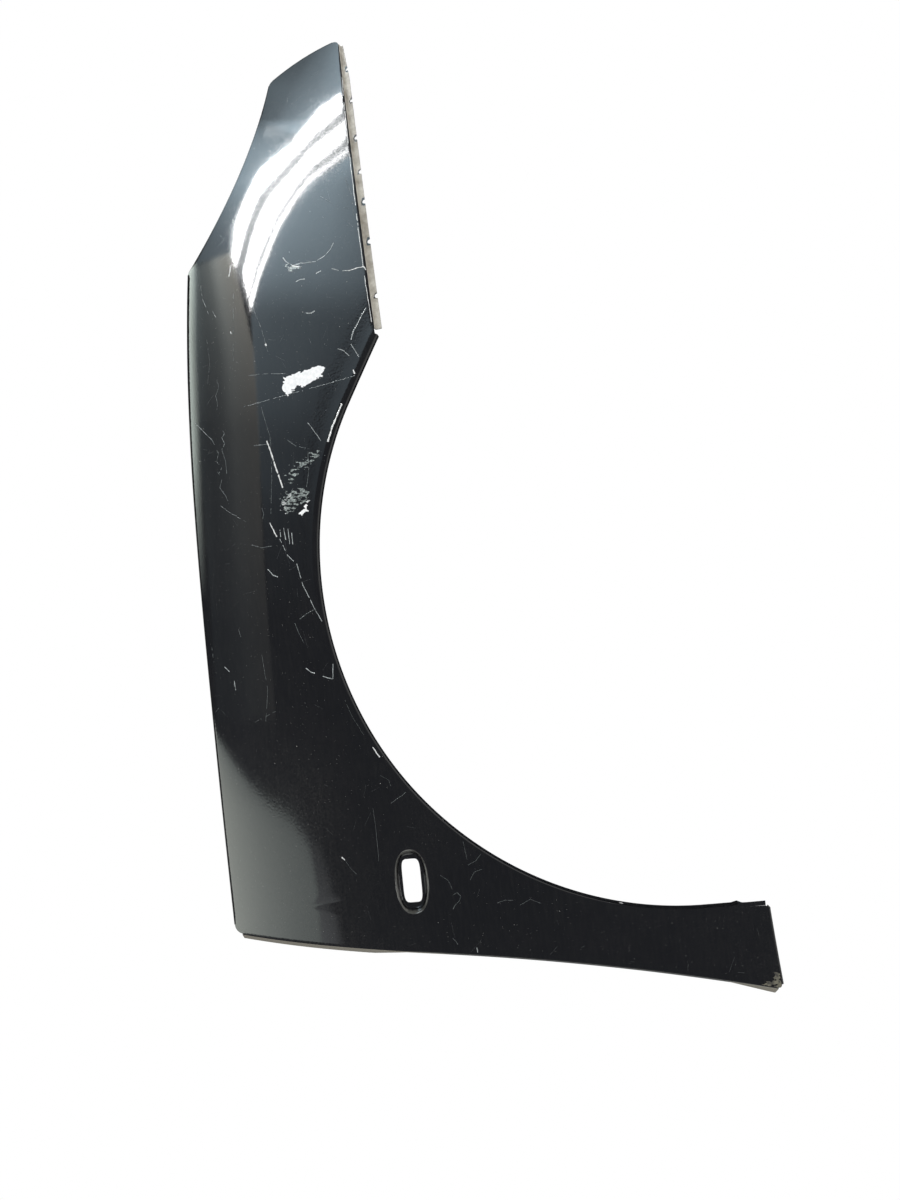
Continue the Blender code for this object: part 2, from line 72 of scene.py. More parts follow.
# Outline from the wheel centre, with the bow of each edge
BUMPER_EDGE_UP = 0.2626
TIP = Vector((0.612, BUMPER_EDGE_UP))
LAMP_CORNER = Vector((0.590, 0.352))
BONNET_CORNER = Vector((0.373, 0.466))
REAR_CORNER = Vector((-0.336, 0.499))
SILL_REAR = Vector((-0.445, -0.042))
SILL_FRONT_DROP = 0.038
FRONT_EDGE_BOW = 0.004
LAMP_EDGE_BOW = 0.018
BONNET_EDGE_BOW = 0.004
DOOR_EDGE_BOW = 0.017
TIP_ROUNDING = 0.009
LAMP_CORNER_ROUNDING = 0.010
BONNET_CORNER_ROUNDING = 0.006
REAR_CORNER_ROUNDING = 0.011
SILL_ROUNDING = 0.005
ARCH_CORNER_RELIEF = 0.006
EDGE_END_SHARE = 0.02

# Depth of the skin behind the plane of the wheel arch
NOSE_SWEEP = 0.165
SWEEP_LENGTH = 0.640
SWEEP_START_BACK = 0.060
SWEEP_POWER = 2.4
CROWN_DEPTH = 0.062
CROWN_WIDTH = 0.190
CROWN_POWER = 2.3
SHOULDER_UP = 0.455
SHOULDER_RISE_SHARE = 0.06
SHOULDER_NOSE_DROP = 0.109
SHOULDER_NOSE_LENGTH = 0.492
SHOULDER_TURN_FORWARD = 0.120
SIDE_RADIUS = 2.2
WIDEST_UP = 0.130
FLARE = 0.007
FLARE_WIDTH = 0.030
SLOPE_STEP = 0.0005

# Repeater recess and opening
REPEATER = Vector((-0.28903, 0.30298))
REPEATER_TILT = math.radians(2.3)
RECESS_LENGTH = 0.064
RECESS_WIDTH = 0.033
RECESS_DEPTH = 0.007
RECESS_POWER = 2.3
OPENING_LENGTH = 0.043
OPENING_WIDTH = 0.018
OPENING_POWER = 5.0
OPENING_LIP = 0.0015
WINDOW_SHARE = 1.3
RECESS_FLOOR_SHARE = 0.62
RECESS_BLEND_SHARES = (0.3, 0.55, 0.75, 0.9)
RECESS_STEPS = 16

# Folded edges, with the tabs and lands as shares along their edges
LEDGE_DROP = 0.018
LEDGE_WIDTH = 0.020
LEDGE_HOLE_SHARE = 0.5
LAND_RISE = 0.002
BONNET_STEPS = 30
LAND_SHARES = (3 / BONNET_STEPS, 14 / BONNET_STEPS, 27 / BONNET_STEPS)
LAND_HALF_SHARE = 1 / BONNET_STEPS
BOLT_RADIUS = 0.0035
BOLT_SLOT_LENGTH = 0.011
ARCH_LIP = 0.010
ARCH_LIP_END = 0.012
ARCH_LIP_LEAN = math.radians(3.0)
ARCH_LIP_STOP_DROP = 0.004
FOOT_OPEN_DROP = 0.011
FOOT_FLANGE = 0.0042
FOOT_LEAN = math.radians(76.0)
LIP_HOLE_RADIUS = 0.00275
LIP_HOLE_SHARES = (0.16, 0.38, 0.60, 0.80)
LIP_HOLE_WAY_IN = 0.5
BUMPER_JOGGLE = 0.0035
BUMPER_FLANGE = 0.0048
BUMPER_FLANGE_END = 0.0012
BUMPER_TAPER_SHARE = 0.15
SCALLOP_RADIUS = 0.0028
SCALLOP_SHARES = (0.10, 0.27, 0.40, 0.50, 0.62, 0.76, 0.89)
FRONT_FLANGE = 0.008
LAMP_FLANGE = 0.010
LAMP_TAB = 0.026
LAMP_TAB_SHARE = 12 / 15
LAMP_TAB_HALF_SHARE = 1 / 15
DOOR_FLANGE = 0.011
DOOR_LEAN = math.radians(26.0)
DOOR_LEAN_FROM_UP = 0.285
DOOR_LEAN_FULL_UP = 0.350
DOOR_FOOT_LEAN = math.radians(30.0)
DOOR_FOOT_FROM_UP = 0.034
DOOR_FOOT_FULL_UP = -0.033
PILLAR_TAB = 0.028
PILLAR_TAB_SHARE = 12 / 22
PILLAR_TAB_HALF_SHARE = 1 / 22
SILL_FLANGE = 0.012
SILL_TAB = 0.030
SILL_TAB_SHARE = 5 / 10
SILL_TAB_HALF_SHARE = 2 / 10
SILL_TAB_RAMP_SHARE = 1 / 10
TAB_HOLE_SHARE = 0.6
CUTTER_LENGTH = 0.008
HOLE_SIDES = 24

# Soil on the folded edges, by height and by step of the fold, and a painted reflection by ring of the
# recess: a lighter grey ring on its rim
DOOR_SOIL_FROM_UP = 0.262
DOOR_SOIL_TO_UP = 0.515
FOOT_SOIL_TO_UP = 0.028
SOIL_FADE = 0.03
DOOR_BARE_STEPS = FOLD_STEPS // 3
BUMPER_BARE_STEPS = FOLD_STEPS // 6
BUMPER_WALL_STEPS = FOLD_STEPS + 2
BUMPER_WALL_SOIL = 0.75
RIM_SHEEN_STOPS = ((0.0, 0.0), (0.25, 0.0), (0.31, 1.0), (0.47, 1.0), (0.62, 0.0), (1.4, 0.0))

# Grid of the skin
ARC_STEPS = 4
CORNER_STEPS = 6
BUMPER_STATIONS = 56
ARCH_FRONT_STATIONS = 110
ARCH_REAR_STATIONS = 84
LAMP_STATIONS = 54
BONNET_STATIONS = 105
DOOR_STATIONS = 81
COLUMNS = 50
END_BLEND_ROWS = 14
RIM_ROWS = 6
RIM_COLUMNS = 3

# The photograph's view: its turn, scale and camera, in its own frame of 900 by 1200
VIEW_TURN = math.radians(8.0)
PIXEL = 0.000968
VIEW_DISTANCE = 1.5
FRAME_CENTRE = (450.0, 600.0)
VIEW_ACROSS = -0.0546
VIEW_UP = 0.2227
CAMERA_ANGLE = math.radians(42.3)
DEPTH_TRIES = 60

INWARD = Vector((0.0, 1.0, 0.0))
DOWN = Vector((0.0, 0.0, -1.0))
HALF_TURN = 3.14159


# The painted face


def skin_depth(x, z):
    sweep = max(0.0, x + SWEEP_START_BACK) / SWEEP_LENGTH
    nose = max(0.0, x - SHOULDER_TURN_FORWARD) / SHOULDER_NOSE_LENGTH
    shoulder = SHOULDER_UP - SHOULDER_RISE_SHARE * x - SHOULDER_NOSE_DROP * nose**2
    crown = max(0.0, 1.0 - (shoulder - z) / CROWN_WIDTH)
    side = (z - WIDEST_UP) ** 2 / (2.0 * SIDE_RADIUS)
    flare = math.exp((ARCH_RADIUS - math.hypot(x, z)) / FLARE_WIDTH)
    swept = NOSE_SWEEP * sweep**SWEEP_POWER + CROWN_DEPTH * crown**CROWN_POWER
    return swept + side - FLARE * flare


def on_skin(place, depth=0.0):
    return Vector((place.x, skin_depth(place.x, place.y) + depth, place.y))


def skin_normal(point):
    x, z, step = point.x, point.z, SLOPE_STEP
    slope_x = (skin_depth(x + step, z) - skin_depth(x - step, z)) / (2.0 * step)
    slope_z = (skin_depth(x, z + step) - skin_depth(x, z - step)) / (2.0 * step)
    return Vector((slope_x, -1.0, slope_z)).normalized()


def bowed(start, end, bow, share):
    chord = end - start
    half_angle = 2.0 * math.atan2(2.0 * bow, chord.length)
    radius = chord.length / (2.0 * math.sin(half_angle))
    angle = half_angle * (2.0 * share - 1.0)
    along = 0.5 + radius * math.sin(angle) / chord.length
    left = Vector((-chord.y, chord.x)).normalized()
    return start + chord * along + left * radius * (math.cos(angle) - math.cos(half_angle))


def arch_place(angle):
    return Vector((math.cos(angle), math.sin(angle))) * ARCH_RADIUS


def off_the_arch(angle, height):
    start, heading = arch_place(angle), Vector((-math.sin(angle), math.cos(angle)))
    return start + heading * ((height - start.y) / heading.y)


ARCH_CORNER = off_the_arch(ARCH_FRONT_ANGLE, BUMPER_EDGE_UP)
SILL_FRONT = off_the_arch(ARCH_REAR_ANGLE, -SILL_FRONT_DROP)


def front_edge(share):
    return bowed(TIP, LAMP_CORNER, -FRONT_EDGE_BOW, share)


def lamp_edge(share):
    return bowed(LAMP_CORNER, BONNET_CORNER, LAMP_EDGE_BOW, share)


def bonnet_edge(share):
    return bowed(BONNET_CORNER, REAR_CORNER, -BONNET_EDGE_BOW, share)


def door_edge(share):
    return bowed(REAR_CORNER, SILL_REAR, DOOR_EDGE_BOW, share)


def sill_edge(share):
    return SILL_FRONT.lerp(SILL_REAR, share)


def bumper_edge(share):
    return TIP.lerp(ARCH_CORNER, share)


def arch_front_edge(share):
    straight = (arch_place(ARCH_FRONT_ANGLE) - ARCH_CORNER).length
    along = share * (straight + ARCH_RADIUS * (ARCH_SPLIT_ANGLE - ARCH_FRONT_ANGLE))
    if along < straight:
        return ARCH_CORNER.lerp(arch_place(ARCH_FRONT_ANGLE), along / straight)
    return arch_place(ARCH_FRONT_ANGLE + (along - straight) / ARCH_RADIUS)


def arch_rear_edge(share):
    arc = ARCH_RADIUS * (ARCH_REAR_ANGLE - ARCH_SPLIT_ANGLE)
    straight = (SILL_FRONT - arch_place(ARCH_REAR_ANGLE)).length
    along = share * (straight + arc)
    if along < arc:
        return arch_place(ARCH_SPLIT_ANGLE + along / ARCH_RADIUS)
    return arch_place(ARCH_REAR_ANGLE).lerp(SILL_FRONT, (along - arc) / straight)


def edge_length(edge):
    return (edge(0.5) - edge(0.0)).length + (edge(1.0) - edge(0.5)).length


def backwards(edge):
    return lambda share: edge(1.0 - share)


def corner_arc(edge_in, edge_out, rounding):
    """The arc between two edges, by its share, and how far it reaches along each edge."""
    corner = edge_out(0.0)
    incoming = (corner - edge_in(1.0 - EDGE_END_SHARE)).normalized()
    outgoing = (edge_out(EDGE_END_SHARE) - corner).normalized()
    turn = incoming.angle(outgoing)
    reach = rounding * math.tan(0.5 * turn)
    centre = corner + (outgoing - incoming).normalized() * rounding / math.cos(0.5 * turn)
    first = corner - incoming * reach - centre
    last = corner + outgoing * reach - centre

    def arc(share):
        mix = (math.sin((1.0 - share) * turn), math.sin(share * turn))
        return centre + (first * mix[0] + last * mix[1]) / math.sin(turn)

    return arc, reach


def stations(edge, count, start_reach, end_reach):
    first = start_reach / edge_length(edge)
    last = 1.0 - end_reach / edge_length(edge)
    return [edge(first + (last - first) * index / (count - 1)) for index in range(count)]


def arc_places(arc, start, end, steps, skip_first=False, skip_last=False):
    shares = [start + (end - start) * index / steps for index in range(steps + 1)]
    return [arc(share) for share in shares[skip_first : len(shares) - skip_last]]


def inset(places, before, after, side):
    moved = []
    chain = [before] + places + [after]
    for last, place, following in zip(chain, places, chain[2:]):
        heading = ((place - last).normalized() + (following - place).normalized()).normalized()
        moved.append(place + Vector((-heading.y, heading.x)) * side * BEND_RADIUS)
    return moved


def held(share):
    return max(0.0, min(1.0, share))


def smooth(share):
    share = held(share)
    return share * share * (3.0 - 2.0 * share)


def step_at(count, share):
    """The step of a list in which a share of it falls, and how far along that step."""
    station = share * (count - 1)
    first = min(int(station), count - 2)
    return first, station - first


def by_stops(stops, share):
    for (start, low), (end, high) in zip(stops, stops[1:]):
        if share <= end:
            return low + (high - low) * (share - start) / max(1e-9, end - start)
    return stops[-1][1]


def join_rows(mesh, near, far, closed=False):
    for index in range(0 if closed else 1, len(near)):
        mesh.faces.new((near[index - 1], near[index], far[index], far[index - 1]))


def skin_rows():
    tip, tip_reach = corner_arc(backwards(front_edge), bumper_edge, TIP_ROUNDING)
    lamp, lamp_reach = corner_arc(front_edge, lamp_edge, LAMP_CORNER_ROUNDING)
    bonnet, bonnet_reach = corner_arc(lamp_edge, bonnet_edge, BONNET_CORNER_ROUNDING)
    rear, rear_reach = corner_arc(bonnet_edge, door_edge, REAR_CORNER_ROUNDING)
    leg, leg_reach = corner_arc(arch_rear_edge, sill_edge, SILL_ROUNDING)
    sill, sill_reach = corner_arc(door_edge, backwards(sill_edge), SILL_ROUNDING)
    middle = COLUMNS + 1 - 2 * ARC_STEPS
    front_row = (
        arc_places(tip, 0.5, 0.0, ARC_STEPS, skip_last=True)
        + stations(front_edge, middle, tip_reach, lamp_reach)
        + arc_places(lamp, 0.0, 0.5, ARC_STEPS, skip_first=True)
    )
    sill_row = (
        arc_places(leg, 0.5, 1.0, ARC_STEPS, skip_last=True)
        + stations(sill_edge, middle, leg_reach, sill_reach)
        + arc_places(sill, 1.0, 0.5, ARC_STEPS, skip_first=True)
    )
    lower = (
        arc_places(tip, 0.5, 1.0, ARC_STEPS, skip_last=True)
        + stations(bumper_edge, BUMPER_STATIONS, tip_reach, ARCH_CORNER_RELIEF)
        + [arch_front_edge(index / ARCH_FRONT_STATIONS) for index in range(ARCH_FRONT_STATIONS)]
        + stations(arch_rear_edge, ARCH_REAR_STATIONS, 0.0, leg_reach)
        + arc_places(leg, 0.0, 0.5, ARC_STEPS, skip_first=True)
    )
    upper = (
        arc_places(lamp, 0.5, 1.0, ARC_STEPS, skip_last=True)
        + stations(lamp_edge, LAMP_STATIONS, lamp_reach, bonnet_reach)
        + arc_places(bonnet, 0.0, 1.0, CORNER_STEPS, skip_first=True, skip_last=True)
        + stations(bonnet_edge, BONNET_STATIONS, bonnet_reach, rear_reach)
        + arc_places(rear, 0.0, 1.0, CORNER_STEPS, skip_first=True, skip_last=True)
        + stations(door_edge, DOOR_STATIONS, rear_reach, sill_reach)
        + arc_places(sill, 0.0, 0.5, ARC_STEPS, skip_first=True)
    )
    low = inset(lower, front_row[1], sill_row[1], -1.0)
    high = inset(upper, front_row[-2], sill_row[-2], 1.0)
    first_row = inset(front_row, lower[1], upper[1], 1.0)
    last_row = inset(sill_row, lower[-2], upper[-2], -1.0)
    shares = [column / COLUMNS for column in range(COLUMNS + 1)]
    rows = [[one.lerp(other, share) for share in shares] for one, other in zip(low, high)]
    for end_row, order in ((first_row, rows), (last_row, rows[::-1])):
        push = [end - place for end, place in zip(end_row, order[0])]
        for number, places in enumerate(order[:END_BLEND_ROWS]):
            fade = (1.0 - number / END_BLEND_ROWS) ** 2
            for column in range(1 if number else 0, COLUMNS if number else COLUMNS + 1):
                places[column] += push[column] * fade
    return rows


def repeater_frame(place):
    offset = place - REPEATER
    cosine, sine = math.cos(REPEATER_TILT), math.sin(REPEATER_TILT)
    along = (offset.x * cosine - offset.y * sine) / (0.5 * RECESS_LENGTH)
    aside = (offset.x * sine + offset.y * cosine) / (0.5 * RECESS_WIDTH)
    return along, aside


def oval(angle, length, width, power):
    cosine, sine = math.cos(angle), math.sin(angle)
    along = 0.5 * length * math.copysign(abs(cosine) ** (2.0 / power), cosine)
    aside = 0.5 * width * math.copysign(abs(sine) ** (2.0 / power), sine)
    cosine, sine = math.cos(REPEATER_TILT), math.sin(REPEATER_TILT)
    return REPEATER + Vector((along * cosine + aside * sine, aside * cosine - along * sine))


def recess_window(rows):
    inside = []
    for row, places in enumerate(rows):
        for column, place in enumerate(places):
            along, aside = repeater_frame(place)
            if abs(along) ** RECESS_POWER + abs(aside) ** RECESS_POWER < WINDOW_SHARE**RECESS_POWER:
                inside.append((row, column))
    used_rows = [row for row, _ in inside]
    used_columns = [column for _, column in inside]
    return min(used_rows) - 1, max(used_rows) + 1, min(used_columns) - 1, max(used_columns) + 1


def window_border(grid, window):
    first_row, last_row, first_column, last_column = window
    front = [grid[first_row][column] for column in range(first_column, last_column)]
    top = [grid[row][last_column] for row in range(first_row, last_row)]
    back = [grid[last_row][column] for column in range(last_column, first_column, -1)]
    bottom = [grid[row][first_column] for row in range(last_row, first_row, -1)]
    return front + top + back + bottom


def recess_rings(border):
    places = [Vector((vert.co.x, vert.co.z)) for vert in border]
    angles = [math.atan2(aside, along) for along, aside in map(repeater_frame, places)]
    rims = [oval(angle, RECESS_LENGTH, RECESS_WIDTH, RECESS_POWER) for angle in angles]
    openings = [oval(angle, OPENING_LENGTH, OPENING_WIDTH, OPENING_POWER) for angle in angles]
    rings = []
    for share in RECESS_BLEND_SHARES:
        rings.append([on_skin(place.lerp(rim, share)) for place, rim in zip(places, rims)])
    for step in range(RECESS_STEPS + 1):
        way_in = step / RECESS_STEPS
        depth = RECESS_DEPTH * smooth(way_in / RECESS_FLOOR_SHARE)
        ring = [rim.lerp(opening, way_in) for rim, opening in zip(rims, openings)]
        rings.append([on_skin(place, depth) for place in ring])
    rings.append([on_skin(place, RECESS_DEPTH + OPENING_LIP) for place in openings])
    return rings


def add_skin(mesh, grime):
    rows = skin_rows()
    window = recess_window(rows)
    first_row, last_row, first_column, last_column = window
    grid = [[mesh.verts.new(on_skin(place)) for place in places] for places in rows]
    for row in range(len(grid) - 1):
        for column in range(COLUMNS):
            if first_row <= row < last_row and first_column <= column < last_column:
                continue
            near, far = grid[row], grid[row + 1]
            mesh.faces.new((near[column], near[column + 1], far[column + 1], far[column]))
    previous = window_border(grid, window)
    for number, ring in enumerate(recess_rings(previous)):
        current = [mesh.verts.new(point) for point in ring]
        # Each ring of the recess gets its share of the painted reflection on the rim
        for vert in current:
            vert[grime] = by_stops(RIM_SHEEN_STOPS, number / RECESS_STEPS)
        join_rows(mesh, previous, current, closed=True)
        previous = current
    for places in grid[first_row + 1 : last_row]:
        for vert in places[first_column + 1 : last_column]:
            mesh.verts.remove(vert)
    return grid


# Folded edges. A section gives the points that follow a place of the edge.


def fold(point, heading, bends, radius):
    points = []
    for direction, run in bends:
        turn = heading.angle(direction)
        start = point
        for step in range(1, FOLD_STEPS + 1):
            angle = turn * step / FOLD_STEPS
            ahead = math.cos(turn - angle) - math.cos(turn)
            aside = 1.0 - math.cos(angle)
            point = start + (heading * ahead + direction * aside) * (radius / math.sin(turn))
            points.append(point)
        start = point
        for step in (0.5, 1.0):
            point = start + direction * run * step
            points.append(point)
        heading = direction
    return points


def leaning(out, lean):
    level = (out - INWARD * out.dot(INWARD)).normalized()
    return INWARD * math.cos(lean) + level * math.sin(lean)


def tab_width(share, middle, half, ramp, plain, tab):
    beyond = (abs(share - middle) - half) / ramp
    return plain + (tab - plain) * held(1.0 - beyond)


def bonnet_section(share, point, out, normal):
    level = point.z - LEDGE_DROP
    for land in LAND_SHARES:
        beyond = (abs(share - land) - LAND_HALF_SHARE) / LAND_HALF_SHARE
        if beyond < 1.0:
            flat = bonnet_land_level(land)
            level += (flat - level) * (1.0 - max(0.0, beyond))
    edge_drop = fold(point, out, [(DOWN, 0.0)], BEND_RADIUS)[-1].z
    wall = edge_drop - BEND_RADIUS - level
    return fold(point, out, [(DOWN, wall), (INWARD, LEDGE_WIDTH)], BEND_RADIUS)


def bonnet_land_level(land):
    station = stations(bonnet_edge, BONNET_STEPS + 1, 0.0, 0.0)[round(land * BONNET_STEPS)]
    return station.y - BEND_RADIUS - LEDGE_DROP + LAND_RISE


def lamp_section(share, point, out, normal):
    run = tab_width(share, LAMP_TAB_SHARE, LAMP_TAB_HALF_SHARE, LAMP_TAB_HALF_SHARE, LAMP_FLANGE, LAMP_TAB)
    return fold(point, out, [(INWARD, run)], BEND_RADIUS)


def front_section(share, point, out, normal):
    return fold(point, out, [(INWARD, FRONT_FLANGE)], BEND_RADIUS)


def sill_section(share, point, out, normal):
    run = tab_width(share, SILL_TAB_SHARE, SILL_TAB_HALF_SHARE, SILL_TAB_RAMP_SHARE, SILL_FLANGE, SILL_TAB)
    return fold(point, out, [(INWARD, run)], BEND_RADIUS)


def door_section(share, point, out, normal):
    rise = (point.z - DOOR_LEAN_FROM_UP) / (DOOR_LEAN_FULL_UP - DOOR_LEAN_FROM_UP)
    foot = (point.z - DOOR_FOOT_FROM_UP) / (DOOR_FOOT_FULL_UP - DOOR_FOOT_FROM_UP)
    direction = leaning(out, DOOR_LEAN * held(rise) + DOOR_FOOT_LEAN * held(foot))
    width = (PILLAR_TAB_SHARE, PILLAR_TAB_HALF_SHARE, PILLAR_TAB_HALF_SHARE, DOOR_FLANGE, PILLAR_TAB)
    return fold(point, out, [(direction, tab_width(share, *width))], BEND_RADIUS)


def arch_section(share, point, out, normal):
    run = ARCH_LIP_END + (ARCH_LIP - ARCH_LIP_END) * share
    opened = held((-ARCH_LIP_STOP_DROP - point.z) / (FOOT_OPEN_DROP - ARCH_LIP_STOP_DROP))
    run = FOOT_FLANGE + (run - FOOT_FLANGE) * (1.0 - opened) ** 2
    lean = ARCH_LIP_LEAN + (FOOT_LEAN - ARCH_LIP_LEAN) * opened
    return fold(point, out, [(leaning(out, lean), run)], BEND_RADIUS)


def bumper_section(share, point, out, normal):
    step_in = BUMPER_JOGGLE - 2.0 * JOGGLE_RADIUS
    taper = min(1.0, (1.0 - share) / BUMPER_TAPER_SHARE)
    run = BUMPER_FLANGE_END + (BUMPER_FLANGE - BUMPER_FLANGE_END) * taper
    return fold(point, out, [(-normal, step_in), (out, run)], JOGGLE_RADIUS)


def add_flange(mesh, edge, section, soil, soiling):
    """A folded strip along an edge of the skin, soiled by the step of the fold and the height."""
    points = [vert.co.copy() for vert in edge]
    ends = [points[0]] + points + [points[-1]]
    strip = []
    for index, vert in enumerate(edge):
        point = points[index]
        normal = skin_normal(point)
        out = (ends[index + 2] - ends[index]).cross(normal).normalized()
        share = index / (len(edge) - 1)
        line = [vert]
        for step, place in enumerate(section(share, point, out, normal)):
            line.append(mesh.verts.new(place))
            line[-1][soil] = soiling(step, point.z)
        strip.append(line)
    for near, far in zip(strip, strip[1:]):
        join_rows(mesh, near, far)
    return strip


def no_soil(step, up):
    return 0.0


def bumper_soil(step, up):
    if step < BUMPER_BARE_STEPS:
        return 0.0
    return BUMPER_WALL_SOIL if step < BUMPER_WALL_STEPS else 1.0


def door_soil(step, up):
    if step < DOOR_BARE_STEPS:
        return 0.0
    middle = smooth((up - DOOR_SOIL_FROM_UP) / SOIL_FADE) * smooth((DOOR_SOIL_TO_UP - up) / SOIL_FADE)
    return max(middle, smooth((FOOT_SOIL_TO_UP - up) / SOIL_FADE))


def place_on(strip, share, way):
    first, mix = step_at(len(strip), share)
    near, far = strip[first], strip[first + 1]
    root = near[-3].co.lerp(far[-3].co, mix)
    brim = near[-1].co.lerp(far[-1].co, mix)
    normal = (near[-1].co - near[-3].co).cross(far[-3].co - near[-3].co).normalized()
    along = (far[-3].co - near[-3].co).normalized()
    return root.lerp(brim, way), normal, along


def add_hole(mesh, place, radius, slot_length=0.0):
    point, normal, along = place
    aside = normal.cross(along)
    stretch = max(0.0, 0.5 * slot_length - radius)
    rings = []
    for end in (-0.5 * CUTTER_LENGTH, 0.5 * CUTTER_LENGTH):
        ring = []
        for side in range(HOLE_SIDES):
            angle = 2.0 * math.pi * (side + 0.5) / HOLE_SIDES
            reach = along * (radius * math.cos(angle) + math.copysign(stretch, math.cos(angle)))
            ring.append(mesh.verts.new(point + normal * end + reach + aside * radius * math.sin(angle)))
        rings.append(ring)
    low, high = rings
    join_rows(mesh, low, high, closed=True)
    mesh.faces.new(low[::-1])
    mesh.faces.new(high)


def panel_meshes():
    """The sheet's painted side with all its folds, and the cutters of its holes."""
    panel, holes = bmesh.new(), bmesh.new()
    soil = panel.verts.layers.float.new("soil")
    plain = panel.verts.layers.float.new("plain")
    # A layer for the painted reflection on the recess's rim
    grime = panel.verts.layers.float.new("grime")
    grid = add_skin(panel, grime)
    for row in grid[RIM_ROWS:-RIM_ROWS]:
        for vert in row[RIM_COLUMNS:-RIM_COLUMNS]:
            if vert.is_valid:
                vert[plain] = 1.0
    lower = [row[0] for row in grid]
    upper = [row[-1] for row in grid]
    top = ARC_STEPS + BUMPER_STATIONS
    bonnet_start = ARC_STEPS + LAMP_STATIONS + CORNER_STEPS - 1
    door_start = bonnet_start + BONNET_STATIONS + CORNER_STEPS - 1
    across = slice(ARC_STEPS, COLUMNS + 1 - ARC_STEPS)
    flanges = (
        (grid[0][across], front_section, no_soil),
        (upper[ARC_STEPS : ARC_STEPS + LAMP_STATIONS], lamp_section, no_soil),
        (upper[bonnet_start : bonnet_start + BONNET_STATIONS], bonnet_section, no_soil),
        (upper[door_start : door_start + DOOR_STATIONS], door_section, door_soil),
        (grid[-1][across][::-1], sill_section, no_soil),
        (lower[top:-ARC_STEPS][::-1], arch_section, no_soil),
        (lower[ARC_STEPS:top][::-1], bumper_section, bumper_soil),
    )
    strips = [add_flange(panel, edge, section, soil, soiling) for edge, section, soiling in flanges]
    _, lamp, bonnet, door, sill, arch, bumper = strips
    for share in LAND_SHARES:
        slot = BOLT_SLOT_LENGTH if share == LAND_SHARES[1] else 0.0
        add_hole(holes, place_on(bonnet, share, LEDGE_HOLE_SHARE), BOLT_RADIUS, slot)
    add_hole(holes, place_on(lamp, LAMP_TAB_SHARE, TAB_HOLE_SHARE), BOLT_RADIUS)
    add_hole(holes, place_on(door, PILLAR_TAB_SHARE, TAB_HOLE_SHARE), BOLT_RADIUS)
    add_hole(holes, place_on(sill, SILL_TAB_SHARE, TAB_HOLE_SHARE), BOLT_RADIUS, BOLT_SLOT_LENGTH)
    for share in LIP_HOLE_SHARES:
        add_hole(holes, place_on(arch, share, LIP_HOLE_WAY_IN), LIP_HOLE_RADIUS)
    for share in SCALLOP_SHARES:
        add_hole(holes, place_on(bumper, share, 1.0), SCALLOP_RADIUS)
    for mesh in (panel, holes):
        for vert in mesh.verts:
            vert.co += WHEEL
    return panel, holes


# The photograph's view


def photo_point(px, py):
    """The point of the skin, from the wheel centre, that shows at a pixel of the photograph."""
    depth = 0.0
    for _ in range(DEPTH_TRIES):
        scale = PIXEL * (1.0 + depth / VIEW_DISTANCE)
        ahead = VIEW_ACROSS + (FRAME_CENTRE[1] - py) * scale
        up = VIEW_UP + (FRAME_CENTRE[0] - px) * scale
        x = ahead * math.cos(VIEW_TURN) + up * math.sin(VIEW_TURN)
        z = up * math.cos(VIEW_TURN) - ahead * math.sin(VIEW_TURN)
        depth = 0.5 * depth + 0.5 * skin_depth(x, z)
    return Vector((x, skin_depth(x, z), z))


def camera_place():
    x = VIEW_ACROSS * math.cos(VIEW_TURN) + VIEW_UP * math.sin(VIEW_TURN)
    z = VIEW_UP * math.cos(VIEW_TURN) - VIEW_ACROSS * math.sin(VIEW_TURN)
    return Vector((x, -VIEW_DISTANCE, z)) + WHEEL


def mirror_place(px, py, reach):
    """Where a light has to be for its reflection to show at a pixel of the photograph."""
    point = photo_point(px, py)
    normal = skin_normal(point)
    point = point + WHEEL
    ray = (point - camera_place()).normalized()
    return point + (ray - normal * 2.0 * ray.dot(normal)) * reach


# Shared helpers


def along_points(points, share):
    """A place on a list of points by its share, counted by point."""
    first, mix = step_at(len(points), share)
    return tuple(a + (b - a) * mix for a, b in zip(points[first], points[first + 1]))


def new_object(name, mesh):
    data = bpy.data.meshes.new(name)
    mesh.to_mesh(data)
    mesh.free()
    obj = bpy.data.objects.new(name, data)
    bpy.context.collection.objects.link(obj)
    return obj


def made_plain(obj):
    """The object with its modifiers' result as its own mesh."""
    bpy.context.view_layer.update()
    shape = obj.evaluated_get(bpy.context.evaluated_depsgraph_get())
    data = bpy.data.meshes.new_from_object(shape)
    obj.modifiers.clear()
    old = obj.data
    obj.data = data
    data.name = obj.name
    bpy.data.meshes.remove(old)
    return obj


def add_sheet(obj, thickness):
    """A modifier that gives the object's faces a thickness, behind them."""
    wall = obj.modifiers.new("sheet_thickness", "SOLIDIFY")
    wall.thickness = thickness
    wall.offset = -1.0
    return wall


def finish_piece(piece):
    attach(piece, "root")


def opaque(colour):
    return colour if isinstance(colour, bpy.types.NodeSocket) else (*colour, 1.0)


class Nodes:
    """A node tree, built a node at a time."""

    def __init__(self, tree):
        self.tree = tree

    def node(self, kind, inputs=(), **settings):
        node = self.tree.nodes.new(kind)
        for key, value in settings.items():
            setattr(node, key, value)
        for key, value in dict(inputs).items():
            if isinstance(value, bpy.types.NodeSocket):
                self.tree.links.new(value, node.inputs[key])
            else:
                node.inputs[key].default_value = value
        return node

    def out(self, kind, inputs=(), output=0, **settings):
        """The first or the named output of a new node."""
        return self.node(kind, inputs, **settings).outputs[output]


